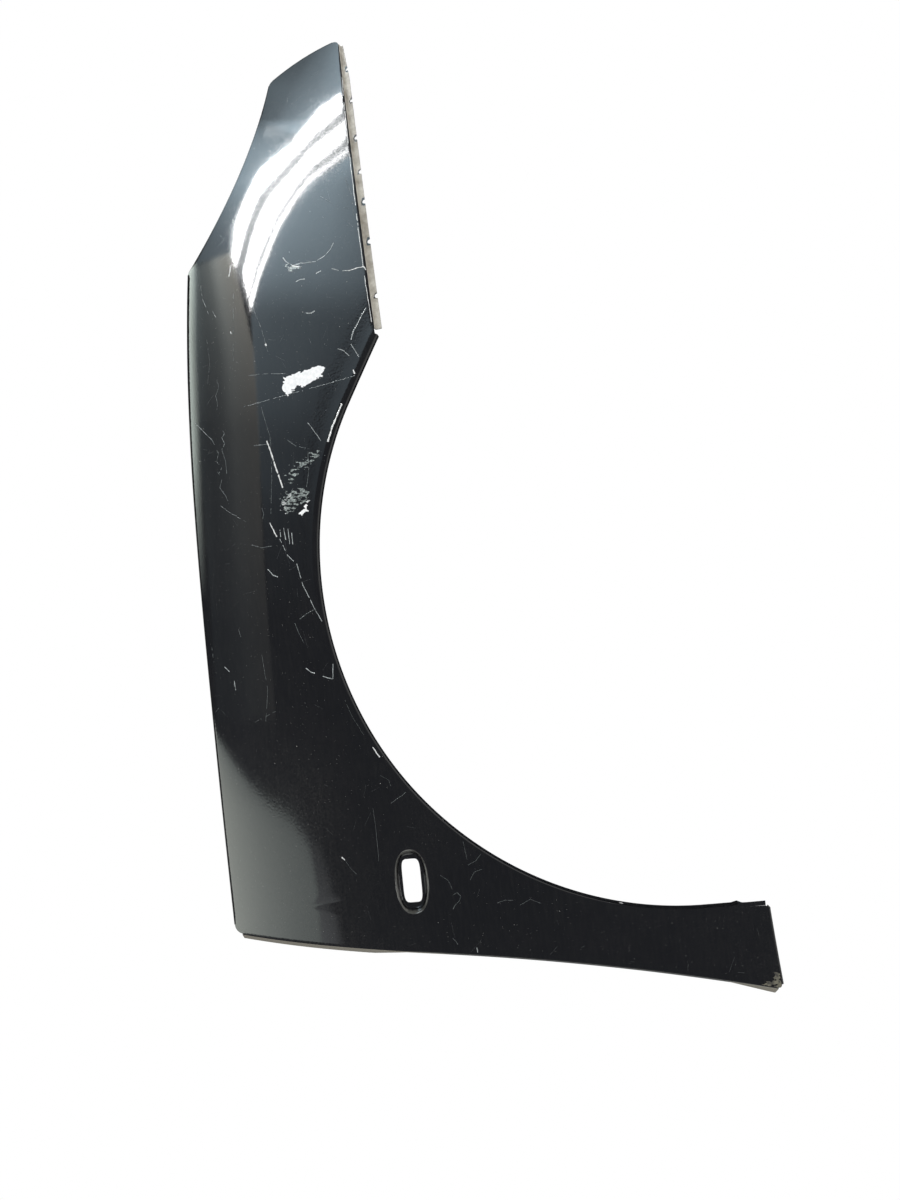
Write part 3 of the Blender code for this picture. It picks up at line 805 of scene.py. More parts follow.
class Shader(Nodes):
    """A material, built a node at a time."""

    def __init__(self, name):
        self.material = bpy.data.materials.new(name)
        self.material.use_nodes = True
        super().__init__(self.material.node_tree)
        self.tree.nodes.clear()

    def coordinates(self):
        return self.out("ShaderNodeTexCoord", output="Object")

    def attribute(self, name, output="Fac"):
        return self.out("ShaderNodeAttribute", output=output, attribute_name=name)

    def noise(self, place, scale, detail=4.0, rough=0.55, stretch=None):
        if stretch:
            place = self.out("ShaderNodeMapping", {"Vector": place, **stretch})
        inputs = {"Vector": place, "Scale": scale, "Detail": detail, "Roughness": rough}
        return self.out("ShaderNodeTexNoise", inputs, output="Fac")

    def math(self, operation, one, two, clamp=False):
        return self.out("ShaderNodeMath", {0: one, 1: two}, operation=operation, use_clamp=clamp)

    def times(self, one, two):
        return self.math("MULTIPLY", one, two)

    def band(self, value, low, high, to_low=0.0, to_high=1.0):
        inputs = {"Value": value, "From Min": low, "From Max": high, "To Min": to_low, "To Max": to_high}
        return self.out("ShaderNodeMapRange", inputs)

    def mix(self, factor, one, two):
        inputs = {0: factor, 6: opaque(one), 7: opaque(two)}
        return self.out("ShaderNodeMix", inputs, output=2, data_type="RGBA")

    def bump(self, strength, distance, height):
        inputs = {"Strength": strength, "Distance": distance, "Height": height}
        return self.out("ShaderNodeBump", inputs)

    def finish(self, surface):
        self.node("ShaderNodeOutputMaterial", {"Surface": surface})
        return self.material

    def surface(self, colour, rough, **more):
        inputs = {"Base Color": colour, "Roughness": rough, **more}
        return self.finish(self.out("ShaderNodeBsdfPrincipled", inputs))

    def light(self, colour, strength, clear=True):
        """A lamp, which adds its light to what is seen through it where it is clear."""
        lamp = self.out("ShaderNodeEmission", {"Color": opaque(colour), "Strength": strength})
        if clear:
            lamp = self.out("ShaderNodeAddShader", {0: lamp, 1: self.out("ShaderNodeBsdfTransparent")})
        return self.finish(lamp)


# The panel's three materials. Places are in metres in the model's frame.

STREAK_STRETCH = {"Scale": (1.0, 1.0, 9.0), "Rotation": (0.0, 0.4, 0.0)}
STREAK_SHARE = 0.012
POWDER_SHARE = 0.045
NOSE_POWDER_X = (0.12, 0.42)
REAR_POWDER_X = (-0.16, -0.26)
REAR_POWDER_Z = (-0.13, -0.08)
REAR_POWDER_SHARE = 0.55
SOIL_DARK = (0.30, 0.27, 0.22)
SOIL_PALE = (0.62, 0.60, 0.53)
SOIL_AT_DOOR = (0.19, 0.175, 0.14)
SOIL_TURN_X = (-0.2, 0.1)
SOIL_BREAK = 0.5
# Lighter grey, painted on the recess's rim in place of a reflection there
RIM_SHEEN_COLOUR = (0.11, 0.11, 0.10)
RIM_SHEEN_LEAST = 0.35
WORN_ROUGHNESS = 2.2
DUST_ROUGHNESS = 1.5
SOIL_ROUGHNESS = 0.6
PAINT_IOR = 1.5
INNER_BLACK = (0.012, 0.012, 0.014)
INNER_DUST = (0.22, 0.19, 0.15)
INNER_DUST_SHARE = 0.45
EDGE_PAINT = (0.02, 0.02, 0.022)
EDGE_STEEL = (0.30, 0.28, 0.25)
SHARP_ANGLE = math.radians(50.0)


def black_paint(settings):
    """Gloss black paint with dust, haze and a slight orange peel, soiled by the mesh's layers, and with a
    painted reflection, a lighter grey ring, on the recess's rim.
    """
    shader = Shader("black_paint")
    place = shader.coordinates()
    axes = shader.node("ShaderNodeSeparateXYZ", {"Vector": place}).outputs
    clouds = shader.noise(place, scale=9.0, detail=5.0, rough=0.6)
    grains = shader.noise(place, scale=1400.0, detail=2.0, rough=0.6)
    dust = shader.times(shader.band(clouds, 0.42, 0.72), shader.band(grains, 0.50, 0.72))
    streaks = shader.noise(place, scale=60.0, rough=0.6, stretch=STREAK_STRETCH)
    film = shader.times(shader.band(streaks, 0.45, 0.8), STREAK_SHARE)
    high = shader.times(shader.band(axes["X"], *REAR_POWDER_X), shader.band(axes["Z"], *REAR_POWDER_Z))
    high = shader.times(high, REAR_POWDER_SHARE)
    where = shader.math("ADD", shader.band(axes["X"], *NOSE_POWDER_X), high, clamp=True)
    powder = shader.noise(place, scale=420.0, detail=3.0, rough=0.7)
    powder = shader.band(powder, 0.36, 0.66, 0.0, POWDER_SHARE)
    film = shader.math("ADD", film, shader.times(where, powder))
    amount = shader.math("ADD", shader.times(dust, settings.dust), film, clamp=True)
    colour = shader.mix(amount, settings.colour, settings.dust_colour)
    edge = shader.noise(place, scale=260.0, detail=5.0, rough=0.65)
    soil = shader.math("ADD", shader.attribute("soil"), shader.times(edge, SOIL_BREAK))
    caked = shader.band(soil, 0.72, 0.95)
    stain = shader.band(shader.noise(place, scale=70.0, detail=5.0, rough=0.7), 0.35, 0.7)
    beige = shader.mix(stain, SOIL_DARK, SOIL_PALE)
    beige = shader.mix(shader.band(axes["X"], *SOIL_TURN_X), SOIL_AT_DOOR, beige)
    colour = shader.mix(caked, colour, beige)
    # The painted reflection on the recess's rim: lighter grey, in patches
    sheen_patches = shader.band(shader.noise(place, scale=120.0, rough=0.6), 0.3, 0.7, RIM_SHEEN_LEAST, 1.0)
    grime = shader.times(shader.attribute("grime"), sheen_patches)
    colour = shader.mix(grime, colour, RIM_SHEEN_COLOUR)
    worn = shader.noise(place, scale=22.0, rough=0.6)
    gloss = shader.band(worn, 0.3, 0.8, settings.roughness, settings.roughness * WORN_ROUGHNESS)
    flecks = shader.band(shader.noise(place, scale=800.0, detail=3.0, rough=0.6), 0.56, 0.76)
    gloss = shader.math("ADD", gloss, shader.times(flecks, settings.haze))
    gloss = shader.math("ADD", gloss, shader.times(amount, DUST_ROUGHNESS))
    gloss = shader.math("ADD", gloss, shader.times(caked, SOIL_ROUGHNESS), clamp=True)
    peel = shader.noise(place, scale=420.0, detail=2.0, rough=0.5)
    bump = shader.bump(strength=0.09, distance=0.0002, height=peel)
    return shader.surface(colour, gloss, IOR=PAINT_IOR, Normal=bump)


def inner_paint():
    """The side that faces the car: duller black with road dust."""
    shader = Shader("inner_paint")
    place = shader.coordinates()
    clouds = shader.noise(place, scale=14.0, detail=6.0, rough=0.65)
    grains = shader.noise(place, scale=600.0, detail=3.0, rough=0.6)
    dust = shader.times(shader.band(clouds, 0.35, 0.75), shader.band(grains, 0.35, 0.8))
    colour = shader.mix(shader.times(dust, INNER_DUST_SHARE), INNER_BLACK, INNER_DUST)
    rough = shader.band(clouds, 0.3, 0.8, 0.32, 0.62)
    bump = shader.bump(strength=0.15, distance=0.0003, height=grains)
    return shader.surface(colour, rough, Normal=bump)


def cut_edge():
    """The sheet's cut edge: paint over steel, thin and chipped."""
    shader = Shader("cut_edge")
    chips = shader.noise(shader.coordinates(), scale=240.0, rough=0.7)
    chips = shader.band(chips, 0.52, 0.6)
    rough = shader.band(chips, 0.0, 1.0, 0.25, 0.5)
    return shader.surface(shader.mix(chips, EDGE_PAINT, EDGE_STEEL), rough)


def build_panel(settings):
    panel, holes = panel_meshes()
    fender = new_object("fender_skin", panel)
    cutters = new_object("hole_cutters", holes)
    for material in (black_paint(settings), inner_paint(), cut_edge()):
        fender.data.materials.append(material)
    fender.data.shade_smooth()
    wall = add_sheet(fender, SHEET)
    wall.use_even_offset = True
    wall.use_quality_normals = True
    wall.material_offset = 1
    wall.material_offset_rim = 2
    cut = fender.modifiers.new("holes", "BOOLEAN")
    cut.operation = "DIFFERENCE"
    cut.solver = "EXACT"
    cut.object = cutters
    made_plain(fender)
    bpy.data.objects.remove(cutters, do_unlink=True)
    fender.data.shade_smooth()
    fender.data.set_sharp_from_angle(angle=SHARP_ANGLE)
    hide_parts("fender_panel")
    finish_piece(fender)


# Wear on the paint, and highlights and glints painted in as scratches. A scratch is its width in millimetres
# and the pixels that it runs through.

SCRATCH_STEP = 3.0
BRIGHT_SCRATCHES_AND_HIGHLIGHTS = (
    (1.5, (267, 441), (271, 452), (275, 465), (283, 488)),
    (1.2, (270, 523), (274, 531), (277, 537)),
    # Painted highlights: the white crescent on the bend of the arch's lip at its front, and the white spot
    # above it
    (1.8, (342, 404), (337, 416), (332, 428), (328, 442)),
    (1.6, (353, 370), (355, 374)),
    (1.2, (373, 747), (377, 753), (380, 757)),
    # A painted glint beside the tubes' reflections
    (1.5, (231, 266), (230, 272), (229, 277)),
    (1.3, (233, 220), (233.5, 222.5)),
    (1.3, (342, 857), (345, 860)),
    (1.4, (230.5, 332), (231.5, 334)),
    (1.6, (265.5, 344), (266.5, 346)),
    (0.9, (349, 271), (358, 268), (364, 267), (366, 270)),
    (1.0, (292, 266), (297, 267), (301, 266)),
    # A painted highlight: the thin white line along the bend of the bumper edge, in dashes
    (0.6, (340.4, 60), (343.6, 96)),
    (0.6, (344.2, 103), (348.4, 144)),
    (0.6, (349.2, 152), (355.6, 206)),
    (0.6, (356.4, 214), (363.4, 268)),
    (0.6, (364.4, 276), (371.6, 322)),
)
PLAIN_SCRATCHES_AND_GLINT = (
    (0.7, (280, 539), (288, 556), (297, 564), (303, 585), (315, 609), (325, 626), (332, 641)),
    (0.7, (332, 641), (333, 660), (333, 679), (328, 678), (323, 676)),
    (0.9, (268, 569), (273, 575), (278, 577)),
    (0.8, (225, 667), (231, 673), (234, 679), (236, 690)),
    (1.0, (306, 668), (311, 672), (315, 673)),
    (0.6, (300, 264), (315, 262), (325, 256), (331, 249), (334, 242)),
    (0.9, (283, 258), (286, 262), (293, 266), (300, 264)),
    (0.7, (332, 269), (340, 271), (350, 271)),
    (0.9, (296, 282), (300, 280), (305, 279)),
    (0.9, (316, 274), (321, 271)),
    (0.9, (305, 313), (310, 314), (315, 311)),
    (0.8, (366, 308), (361, 317), (357, 325), (353, 332), (351, 340)),
    (0.6, (338, 349), (344, 351), (349, 356)),
    (0.6, (351, 344), (359, 357)),
    (0.6, (477, 947), (478, 955)),
    # A painted glint on the bend of the arch's lip at its foot
    (0.7, (696, 910.1), (713, 909.6)),
    (0.5, (308, 423), (315, 432), (321, 441)),
    (0.8, (280, 530), (281, 537)),
    (0.8, (284, 528), (286, 540)),
    (0.8, (288, 529), (290, 544)),
    (0.8, (292, 533), (293, 547)),
)
DIM_SCRATCHES = (
    (0.4, (373, 808), (376, 830), (379, 861)),
    (0.4, (345, 700), (352, 716), (364, 735)),
    (0.4, (380, 775), (389, 780), (391, 786)),
    (0.4, (440, 875), (448, 880), (452, 889)),
    (0.4, (470, 880), (474, 872), (482, 869)),
    (0.4, (520, 905), (530, 899), (541, 903)),
    (0.5, (216, 712), (219, 708)),
    (0.4, (255, 722), (265, 717), (276, 711)),
    (0.5, (468, 865), (475, 861), (481, 854)),
    (0.4, (463, 841), (465, 850), (467, 859)),
    (0.6, (453, 895), (457, 892), (461, 896), (459, 901), (455, 905), (453, 909)),
    (0.5, (497, 903), (505, 900), (513, 900)),
    (0.5, (345, 860), (350, 867), (357, 874)),
    (0.5, (391, 803), (401, 796), (411, 788)),
    (0.7, (453, 938), (456, 941), (458, 944)),
)
FAINT_SCRATCHES = (
    (0.6, (201, 286), (202, 295), (203, 300), (209, 315)),
    (0.6, (213, 312), (216, 318)),
    (0.5, (249, 376), (262, 374), (285, 374)),
    (0.6, (244, 407), (262, 402), (287, 395), (320, 386), (355, 376)),
    (0.5, (261, 406), (270, 436), (271, 444), (272, 480), (271, 514)),
    (0.5, (315, 609), (308, 613), (300, 619)),
    (0.5, (295, 623), (299, 633), (304, 643)),
    (0.6, (239, 630), (241, 637)),
    (0.6, (212, 647), (214, 662)),
    (0.5, (217, 380), (219, 388), (216, 396), (218, 404), (217, 410)),
    (0.6, (195, 423), (203, 431), (212, 440), (216, 447), (218, 453)),
    (0.7, (223, 431), (225, 434), (222, 438), (225, 444), (222, 450), (226, 462), (227, 474)),
    (0.6, (218, 472), (222, 480), (220, 488), (226, 496), (229, 504)),
    (0.6, (219, 452), (217, 462), (222, 468), (219, 474)),
    (0.4, (221, 506), (229, 512), (246, 522)),
    (0.6, (233.5, 294), (233.5, 303)),
    (0.6, (233.4, 309), (233.6, 321)),
    (0.6, (233.5, 326), (233.3, 335)),
    (0.4, (233.3, 344), (233.5, 361)),
    (0.4, (250, 300), (262, 330), (268, 352)),
    (0.4, (320, 196), (336, 206), (349, 209)),
    (0.4, (345, 178), (352, 196), (354, 216)),
    (0.4, (262, 655), (268, 690), (266, 721)),
    (0.4, (207, 340), (210, 362), (208, 384)),
    (0.5, (287, 440), (296, 446), (309, 449)),
    (0.5, (254, 446), (262, 445), (270, 444)),
    (0.5, (262, 508), (264, 514), (263, 519)),
    (0.5, (308, 453), (309, 470), (306, 492)),
    (0.4, (252, 545), (262, 548), (272, 546)),
)
SCRATCH_KINDS = (
    ("bright_scratches", BRIGHT_SCRATCHES_AND_HIGHLIGHTS, (0.90, 0.91, 0.90), (0.62, 0.64, 0.63)),
    ("plain_scratches", PLAIN_SCRATCHES_AND_GLINT, (0.52, 0.56, 0.56), (0.22, 0.24, 0.24)),
    ("faint_scratches", FAINT_SCRATCHES, (0.15, 0.17, 0.17), (0.04, 0.05, 0.05)),
    ("dim_scratches", DIM_SCRATCHES, (0.085, 0.095, 0.095), (0.02, 0.025, 0.025)),
)
WEAR_GLOSS = 0.15
RIBBON_STEP = 0.0009
RIBBON_LIFT = 0.00003
RIBBON_PROFILE = {"Width": 0.1, "Height": 1.0}
UNEVEN_WIDTH = {"From Min": 0.35, "From Max": 0.65, "To Min": 0.6, "To Max": 1.3}

# Hairlines and specks: their sizes and thickness in metres, and the seeds of their scatter
HAIRLINE_SIZES = (0.003, 0.018)
HAIRLINE_THICKNESS = 0.00013
HAIRLINE_SHAPE = (1.0, 1.0, 0.3)
DUST_SIZES = (0.00006, 0.00022)
DIRT_SIZES = (0.0002, 0.0005)
DIRT_SHARE = 0.02
SPECK_SHAPE = (1.0, 0.8, 0.12)
HAIRLINE_SEED = 11
DUST_SEED = 23
DIRT_SEED = 5
SIZE_SEED = 7
OUTER_FACE = 0
PLAIN_LEAST = 0.99

# Films. A film is its name, how ragged it is, its material and its outline in pixels.
FILMS = (
    (
        "scrape", 0.12, "scuff_white",
        (
            (283, 378), (300, 372), (321, 364), (325, 368), (322, 377), (306, 386), (298, 387), (288, 397),
            (283, 392),
        ),
    ),
    (
        "smudge_upper", 0.95, "scuff_grey",
        ((286, 478), (292, 466), (303, 458), (318, 449), (326, 455), (314, 463), (303, 470), (294, 482)),
    ),
    (
        "smudge_lower", 0.72, "scuff_grey",
        (
            (281, 510), (280, 500), (288, 490), (300, 487), (310, 492), (309, 502), (298, 505), (294, 513),
            (286, 514),
        ),
    ),
    (
        "smudge_bright", 0.35, "scuff_white",
        ((281, 512), (282, 502), (288, 495), (291, 497), (285, 505), (285, 513)),
    ),
    (
        "smudge_spot", 0.15, "scuff_white",
        ((298, 514), (303, 509), (307, 500), (309, 500), (308, 511), (302, 516)),
    ),
    ("nose_blotch", 0.55, "scuff_grey", ((286, 265), (300, 262), (304, 268), (294, 272), (286, 270))),
    (
        "sill_crust", 0.55, "beige_crust",
        ((758, 984), (768, 979), (774, 972), (780, 970), (784, 990), (770, 990)),
    ),
)
FILM_MATERIALS = (
    ("scuff_white", (0.95, 0.96, 0.96), (0.82, 0.84, 0.84), 300.0, 0.6),
    ("scuff_grey", (0.34, 0.39, 0.37), (0.02, 0.025, 0.025), 520.0, 0.5),
    ("beige_crust", (0.15, 0.14, 0.10), (0.03, 0.028, 0.022), 260.0, 0.8),
)
FILM_CELL = 0.7
FILM_MARGIN = 3.0
FILM_LIFT = 0.00006
FILM_SHEET = 0.00004
FILM_SMOOTHING = 0.6
FILM_EDGE = 3.0
FILM_BREAK = 0.5
FILM_RAGGED_BREAK = 2.4
FILM_NOISE_ACROSS = 0.16
FILM_NOISE_DOWN = 0.42
FILM_NOISE_SLICE = 3.0
FILM_NOISE_FALL = 0.8
FILM_NOISE_GAP = 2.0
FILM_NOISE_OCTAVES = 4


def skin_frame(px, py):
    """The painted surface at a pixel of the photograph: its point and its normal."""
    point = photo_point(px, py)
    return point + WHEEL, skin_normal(point)


def within(place, outline):
    inside = False
    for one, other in zip(outline, outline[1:] + outline[:1]):
        if (one[1] > place[1]) != (other[1] > place[1]):
            if place[0] < (other[0] - one[0]) * (place[1] - one[1]) / (other[1] - one[1]) + one[0]:
                inside = not inside
    return inside


def skin_outline():
    rows = skin_rows()
    around = rows[0] + [row[-1] for row in rows[1:]] + rows[-1][-2::-1] + [row[0] for row in rows[-2:0:-1]]
    return [(place.x, place.y) for place in around]


SKIN_OUTLINE = skin_outline()


def on_panel(point):
    place = (point.x - WHEEL.x, point.z - WHEEL.z)
    if max(map(abs, repeater_frame(Vector(place)))) < 1.0:
        return False
    return within(place, SKIN_OUTLINE)


def scratch_lines(name, scratches):
    """Wires along the scratches, with the surface's normal and their width at each point."""
    data = bpy.data.meshes.new("scratch_wires")
    points, edges, normals, widths = [], [], [], []
    for width, *pixels in scratches:
        joined = False
        for ends in zip(pixels, pixels[1:]):
            steps = max(1, round(math.dist(*ends) / SCRATCH_STEP))
            for step in range(1 if joined else 0, steps + 1):
                point, normal = skin_frame(*along_points(ends, step / steps))
                if not on_panel(point):
                    joined = False
                    continue
                if joined:
                    edges.append((len(points) - 1, len(points)))
                joined = True
                points.append(point)
                normals.append(normal)
                widths.append(width / 1000.0)
    data.from_pydata(points, edges, [])
    lie = data.attributes.new("lie", "FLOAT_VECTOR", "POINT")
    lie.data.foreach_set("vector", [part for normal in normals for part in normal])
    data.attributes.new("breadth", "FLOAT", "POINT").data.foreach_set("value", widths)
    obj = bpy.data.objects.new(name, data)
    bpy.context.collection.objects.link(obj)
    return obj


class Tree(Nodes):
    """A Geometry Nodes tree with named inputs, built a node at a time."""

    def __init__(self, name, inputs):
        super().__init__(bpy.data.node_groups.new(name, "GeometryNodeTree"))
        geometry = ("Geometry", "NodeSocketGeometry")
        for label, kind in (geometry, *inputs):
            self.tree.interface.new_socket(label, in_out="INPUT", socket_type=kind)
        self.tree.interface.new_socket(geometry[0], in_out="OUTPUT", socket_type=geometry[1])
        self.inputs = self.node("NodeGroupInput").outputs
        self.output = self.node("NodeGroupOutput").inputs[0]

    def layer(self, name, kind="FLOAT"):
        return self.out("GeometryNodeInputNamedAttribute", {"Name": name}, data_type=kind)

    def vector(self, operation, one, two):
        second = "Scale" if operation == "SCALE" else 1
        return self.out("ShaderNodeVectorMath", {0: one, second: two}, operation=operation)

    def finish(self, geometry, material):
        real = self.out("GeometryNodeRealizeInstances", {0: geometry})
        done = self.out("GeometryNodeSetMaterial", {"Geometry": real, "Material": material})
        self.tree.links.new(done, self.output)

    def put_on(self, obj, values):
        modifier = obj.modifiers.new(self.tree.name, "NODES")
        modifier.node_group = self.tree
        for item in self.tree.interface.items_tree:
            if item.in_out == "INPUT" and item.name in values:
                modifier[item.identifier] = values[item.name]


def ribbon_tree():
    """Turns wires on the surface into thin flat ribbons of uneven width."""
    sockets = (
        ("Step", "NodeSocketFloat"),
        ("Wander", "NodeSocketFloat"),
        ("Lift", "NodeSocketFloat"),
        ("Material", "NodeSocketMaterial"),
    )
    tree = Tree("scratch_ribbons", sockets)
    ins = tree.inputs
    curve = tree.out("GeometryNodeMeshToCurve", {0: ins["Geometry"]})
    curve = tree.out("GeometryNodeResampleCurve", {"Curve": curve, "Length": ins["Step"]}, mode="LENGTH")
    lie = tree.layer("lie", "FLOAT_VECTOR")
    place = tree.out("GeometryNodeInputPosition")
    fine = {"Vector": place, "Scale": 160.0, "Detail": 3.0}
    wave = tree.out("ShaderNodeTexNoise", fine, output="Color")
    wave = tree.vector("SUBTRACT", wave, (0.5, 0.5, 0.5))
    level = tree.vector("MULTIPLY", wave, (1.0, 0.0, 1.0))
    level = tree.vector("SCALE", level, ins["Wander"])
    moved = tree.vector("ADD", level, tree.vector("SCALE", lie, ins["Lift"]))
    curve = tree.out("GeometryNodeSetPosition", {"Geometry": curve, "Offset": moved})
    finer = {"Vector": place, "Scale": 420.0, "Detail": 2.0}
    uneven = tree.out("ShaderNodeTexNoise", finer, output="Fac")
    uneven = tree.out("ShaderNodeMapRange", {"Value": uneven, **UNEVEN_WIDTH})
    radius = tree.out("ShaderNodeMath", {0: uneven, 1: tree.layer("breadth")}, operation="MULTIPLY")
    curve = tree.out("GeometryNodeSetCurveRadius", {"Curve": curve, "Radius": radius})
    curve = tree.out("GeometryNodeSetCurveNormal", {"Curve": curve, "Normal": lie}, mode="FREE")
    profile = tree.out("GeometryNodeCurvePrimitiveQuadrilateral", RIBBON_PROFILE)
    swept = {"Curve": curve, "Profile Curve": profile, "Scale": radius, "Fill Caps": True}
    tree.finish(tree.out("GeometryNodeCurveToMesh", swept), ins["Material"])
    return tree


def scatter_tree(name, long_shape):
    """Scatters small flat shapes over the panel's outer face."""
    sockets = (
        ("Panel", "NodeSocketObject"),
        ("Density", "NodeSocketFloat"),
        ("Seed", "NodeSocketInt"),
        ("Smallest", "NodeSocketFloat"),
        ("Largest", "NodeSocketFloat"),
        ("Thickness", "NodeSocketFloat"),
        ("Material", "NodeSocketMaterial"),
    )
    tree = Tree(name, sockets)
    ins = tree.inputs
    panel = tree.out(
        "GeometryNodeObjectInfo", {"Object": ins["Panel"]}, output="Geometry", transform_space="ORIGINAL"
    )
    index = tree.out("GeometryNodeInputMaterialIndex")
    outer = tree.out("FunctionNodeCompare", {2: index, 3: OUTER_FACE}, data_type="INT", operation="EQUAL")
    plain = {0: tree.layer("plain"), 1: PLAIN_LEAST}
    plain = tree.out("FunctionNodeCompare", plain, data_type="FLOAT", operation="GREATER_THAN")
    both = tree.out("FunctionNodeBooleanMath", {0: outer, 1: plain}, operation="AND")
    spread = {"Mesh": panel, "Selection": both, "Density": ins["Density"], "Seed": ins["Seed"]}
    points = tree.node("GeometryNodeDistributePointsOnFaces", spread).outputs
    if long_shape:
        shape = tree.out("GeometryNodeMeshCube", {"Size": HAIRLINE_SHAPE})
    else:
        shape = tree.out("GeometryNodeMeshIcoSphere", {"Radius": 1.0, "Subdivisions": 1})
        shape = tree.out("GeometryNodeTransform", {"Geometry": shape, "Scale": SPECK_SHAPE})
    spin = {2: -HALF_TURN, 3: HALF_TURN, "Seed": ins["Seed"]}
    spin = tree.out("FunctionNodeRandomValue", spin, output=1, data_type="FLOAT")
    turn = tree.out("FunctionNodeEulerToRotation", {0: tree.out("ShaderNodeCombineXYZ", {"Z": spin})})
    turn = {0: points["Rotation"], 1: turn}
    turn = tree.out("FunctionNodeRotateRotation", turn, rotation_space="LOCAL")
    size = {2: ins["Smallest"], 3: ins["Largest"], "Seed": SIZE_SEED}
    size = tree.out("FunctionNodeRandomValue", size, output=1, data_type="FLOAT")
    if long_shape:
        size = {"X": size, "Y": ins["Thickness"], "Z": ins["Thickness"]}
        size = tree.out("ShaderNodeCombineXYZ", size)
    copies = {"Points": points["Points"], "Instance": shape, "Rotation": turn, "Scale": size}
    tree.finish(tree.out("GeometryNodeInstanceOnPoints", copies), ins["Material"])
    return tree


def wear_material(name, pale, dark, scale, rough):
    """Scuffed paint: two tones in a fine noise."""
    shader = Shader(name)
    fleck = shader.band(shader.noise(shader.coordinates(), scale, rough=0.65), 0.38, 0.6)
    gloss = shader.band(fleck, 0.0, 1.0, rough - WEAR_GLOSS, rough)
    bump = shader.bump(strength=0.3, distance=0.0001, height=fleck)
    return shader.surface(shader.mix(fleck, dark, pale), gloss, Normal=bump)


def build_scratches(settings):
    tree = ribbon_tree()
    for name, scratches, pale, dark in SCRATCH_KINDS:
        material = wear_material(name, pale, dark, scale=900.0, rough=0.55)
        values = {"Step": RIBBON_STEP, "Wander": settings.wander, "Lift": RIBBON_LIFT, "Material": material}
        wires = scratch_lines(name, scratches)
        tree.put_on(wires, values)
        finish_piece(made_plain(wires))


def build_scatter(settings):
    panel = bpy.data.objects["fender_skin"]
    hair = wear_material("hairline", (0.09, 0.10, 0.10), (0.02, 0.02, 0.02), scale=500.0, rough=0.5)
    speck = wear_material("dust_speck", (0.55, 0.54, 0.50), (0.16, 0.16, 0.15), scale=700.0, rough=0.8)
    dust, dirt = settings.speck_density, settings.speck_density * DIRT_SHARE
    rows = (
        ("hairlines", True, settings.hairline_density, HAIRLINE_SEED, HAIRLINE_SIZES, hair),
        ("dust_specks", False, dust, DUST_SEED, DUST_SIZES, speck),
        ("dirt_specks", False, dirt, DIRT_SEED, DIRT_SIZES, speck),
    )
    for name, long_shape, density, seed, (smallest, largest), material in rows:
        obj = new_object(name, bmesh.new())
        values = {
            "Panel": panel, "Density": density, "Seed": seed, "Smallest": smallest, "Largest": largest,
            "Thickness": HAIRLINE_THICKNESS, "Material": material,
        }
        scatter_tree(name, long_shape).put_on(obj, values)
        finish_piece(made_plain(obj))


def film_cover(px, py, outline, ragged):
    """How surely a film covers a pixel: its distance inside its outline, broken by noise."""
    nearest = math.inf
    for (ax, ay), (bx, by) in zip(outline, outline[1:] + outline[:1]):
        length = (bx - ax) ** 2 + (by - ay) ** 2
        share = held(((px - ax) * (bx - ax) + (py - ay) * (by - ay)) / length)
        nearest = min(nearest, math.hypot(px - ax - share * (bx - ax), py - ay - share * (by - ay)))
    depth = nearest if within((px, py), outline) else -nearest
    spot = Vector((px * FILM_NOISE_ACROSS, py * FILM_NOISE_DOWN, FILM_NOISE_SLICE))
    broken = noise.fractal(spot, FILM_NOISE_FALL, FILM_NOISE_GAP, FILM_NOISE_OCTAVES)
    return min(depth, FILM_EDGE) / FILM_EDGE + broken * (FILM_BREAK + FILM_RAGGED_BREAK * ragged) - ragged


def film_mesh(outline, ragged):
    """The film's cells on the skin, each one a square of pixels that the film covers."""
    left, right = min(x for x, _ in outline) - FILM_MARGIN, max(x for x, _ in outline) + FILM_MARGIN
    top, bottom = min(y for _, y in outline) - FILM_MARGIN, max(y for _, y in outline) + FILM_MARGIN
    mesh = bmesh.new()
    grid = {}
    for row in range(round((bottom - top) / FILM_CELL)):
        for column in range(round((right - left) / FILM_CELL)):
            px, py = left + (column + 0.5) * FILM_CELL, top + (row + 0.5) * FILM_CELL
            if film_cover(px, py, outline, ragged) <= 0.0 or not on_panel(skin_frame(px, py)[0]):
                continue
            corners = []
            for step_right, step_down in ((0, 0), (0, 1), (1, 1), (1, 0)):
                key = (column + step_right, row + step_down)
                if key not in grid:
                    point, normal = skin_frame(left + key[0] * FILM_CELL, top + key[1] * FILM_CELL)
                    grid[key] = mesh.verts.new(point + normal * FILM_LIFT)
                corners.append(grid[key])
            mesh.faces.new(corners)
    brim = [vert for vert in mesh.verts if vert.is_boundary]
    bmesh.ops.smooth_vert(mesh, verts=brim, factor=FILM_SMOOTHING, use_axis_x=True, use_axis_z=True)
    return mesh


def build_films():
    materials = {name: wear_material(name, *looks) for name, *looks in FILM_MATERIALS}
    for name, ragged, material, outline in FILMS:
        film = new_object(name, film_mesh(outline, ragged))
        film.data.materials.append(materials[material])
        add_sheet(film, FILM_SHEET)
        finish_piece(made_plain(film))


# The stage. A tube is two rows of pixels, and its light shows in the paint between them.

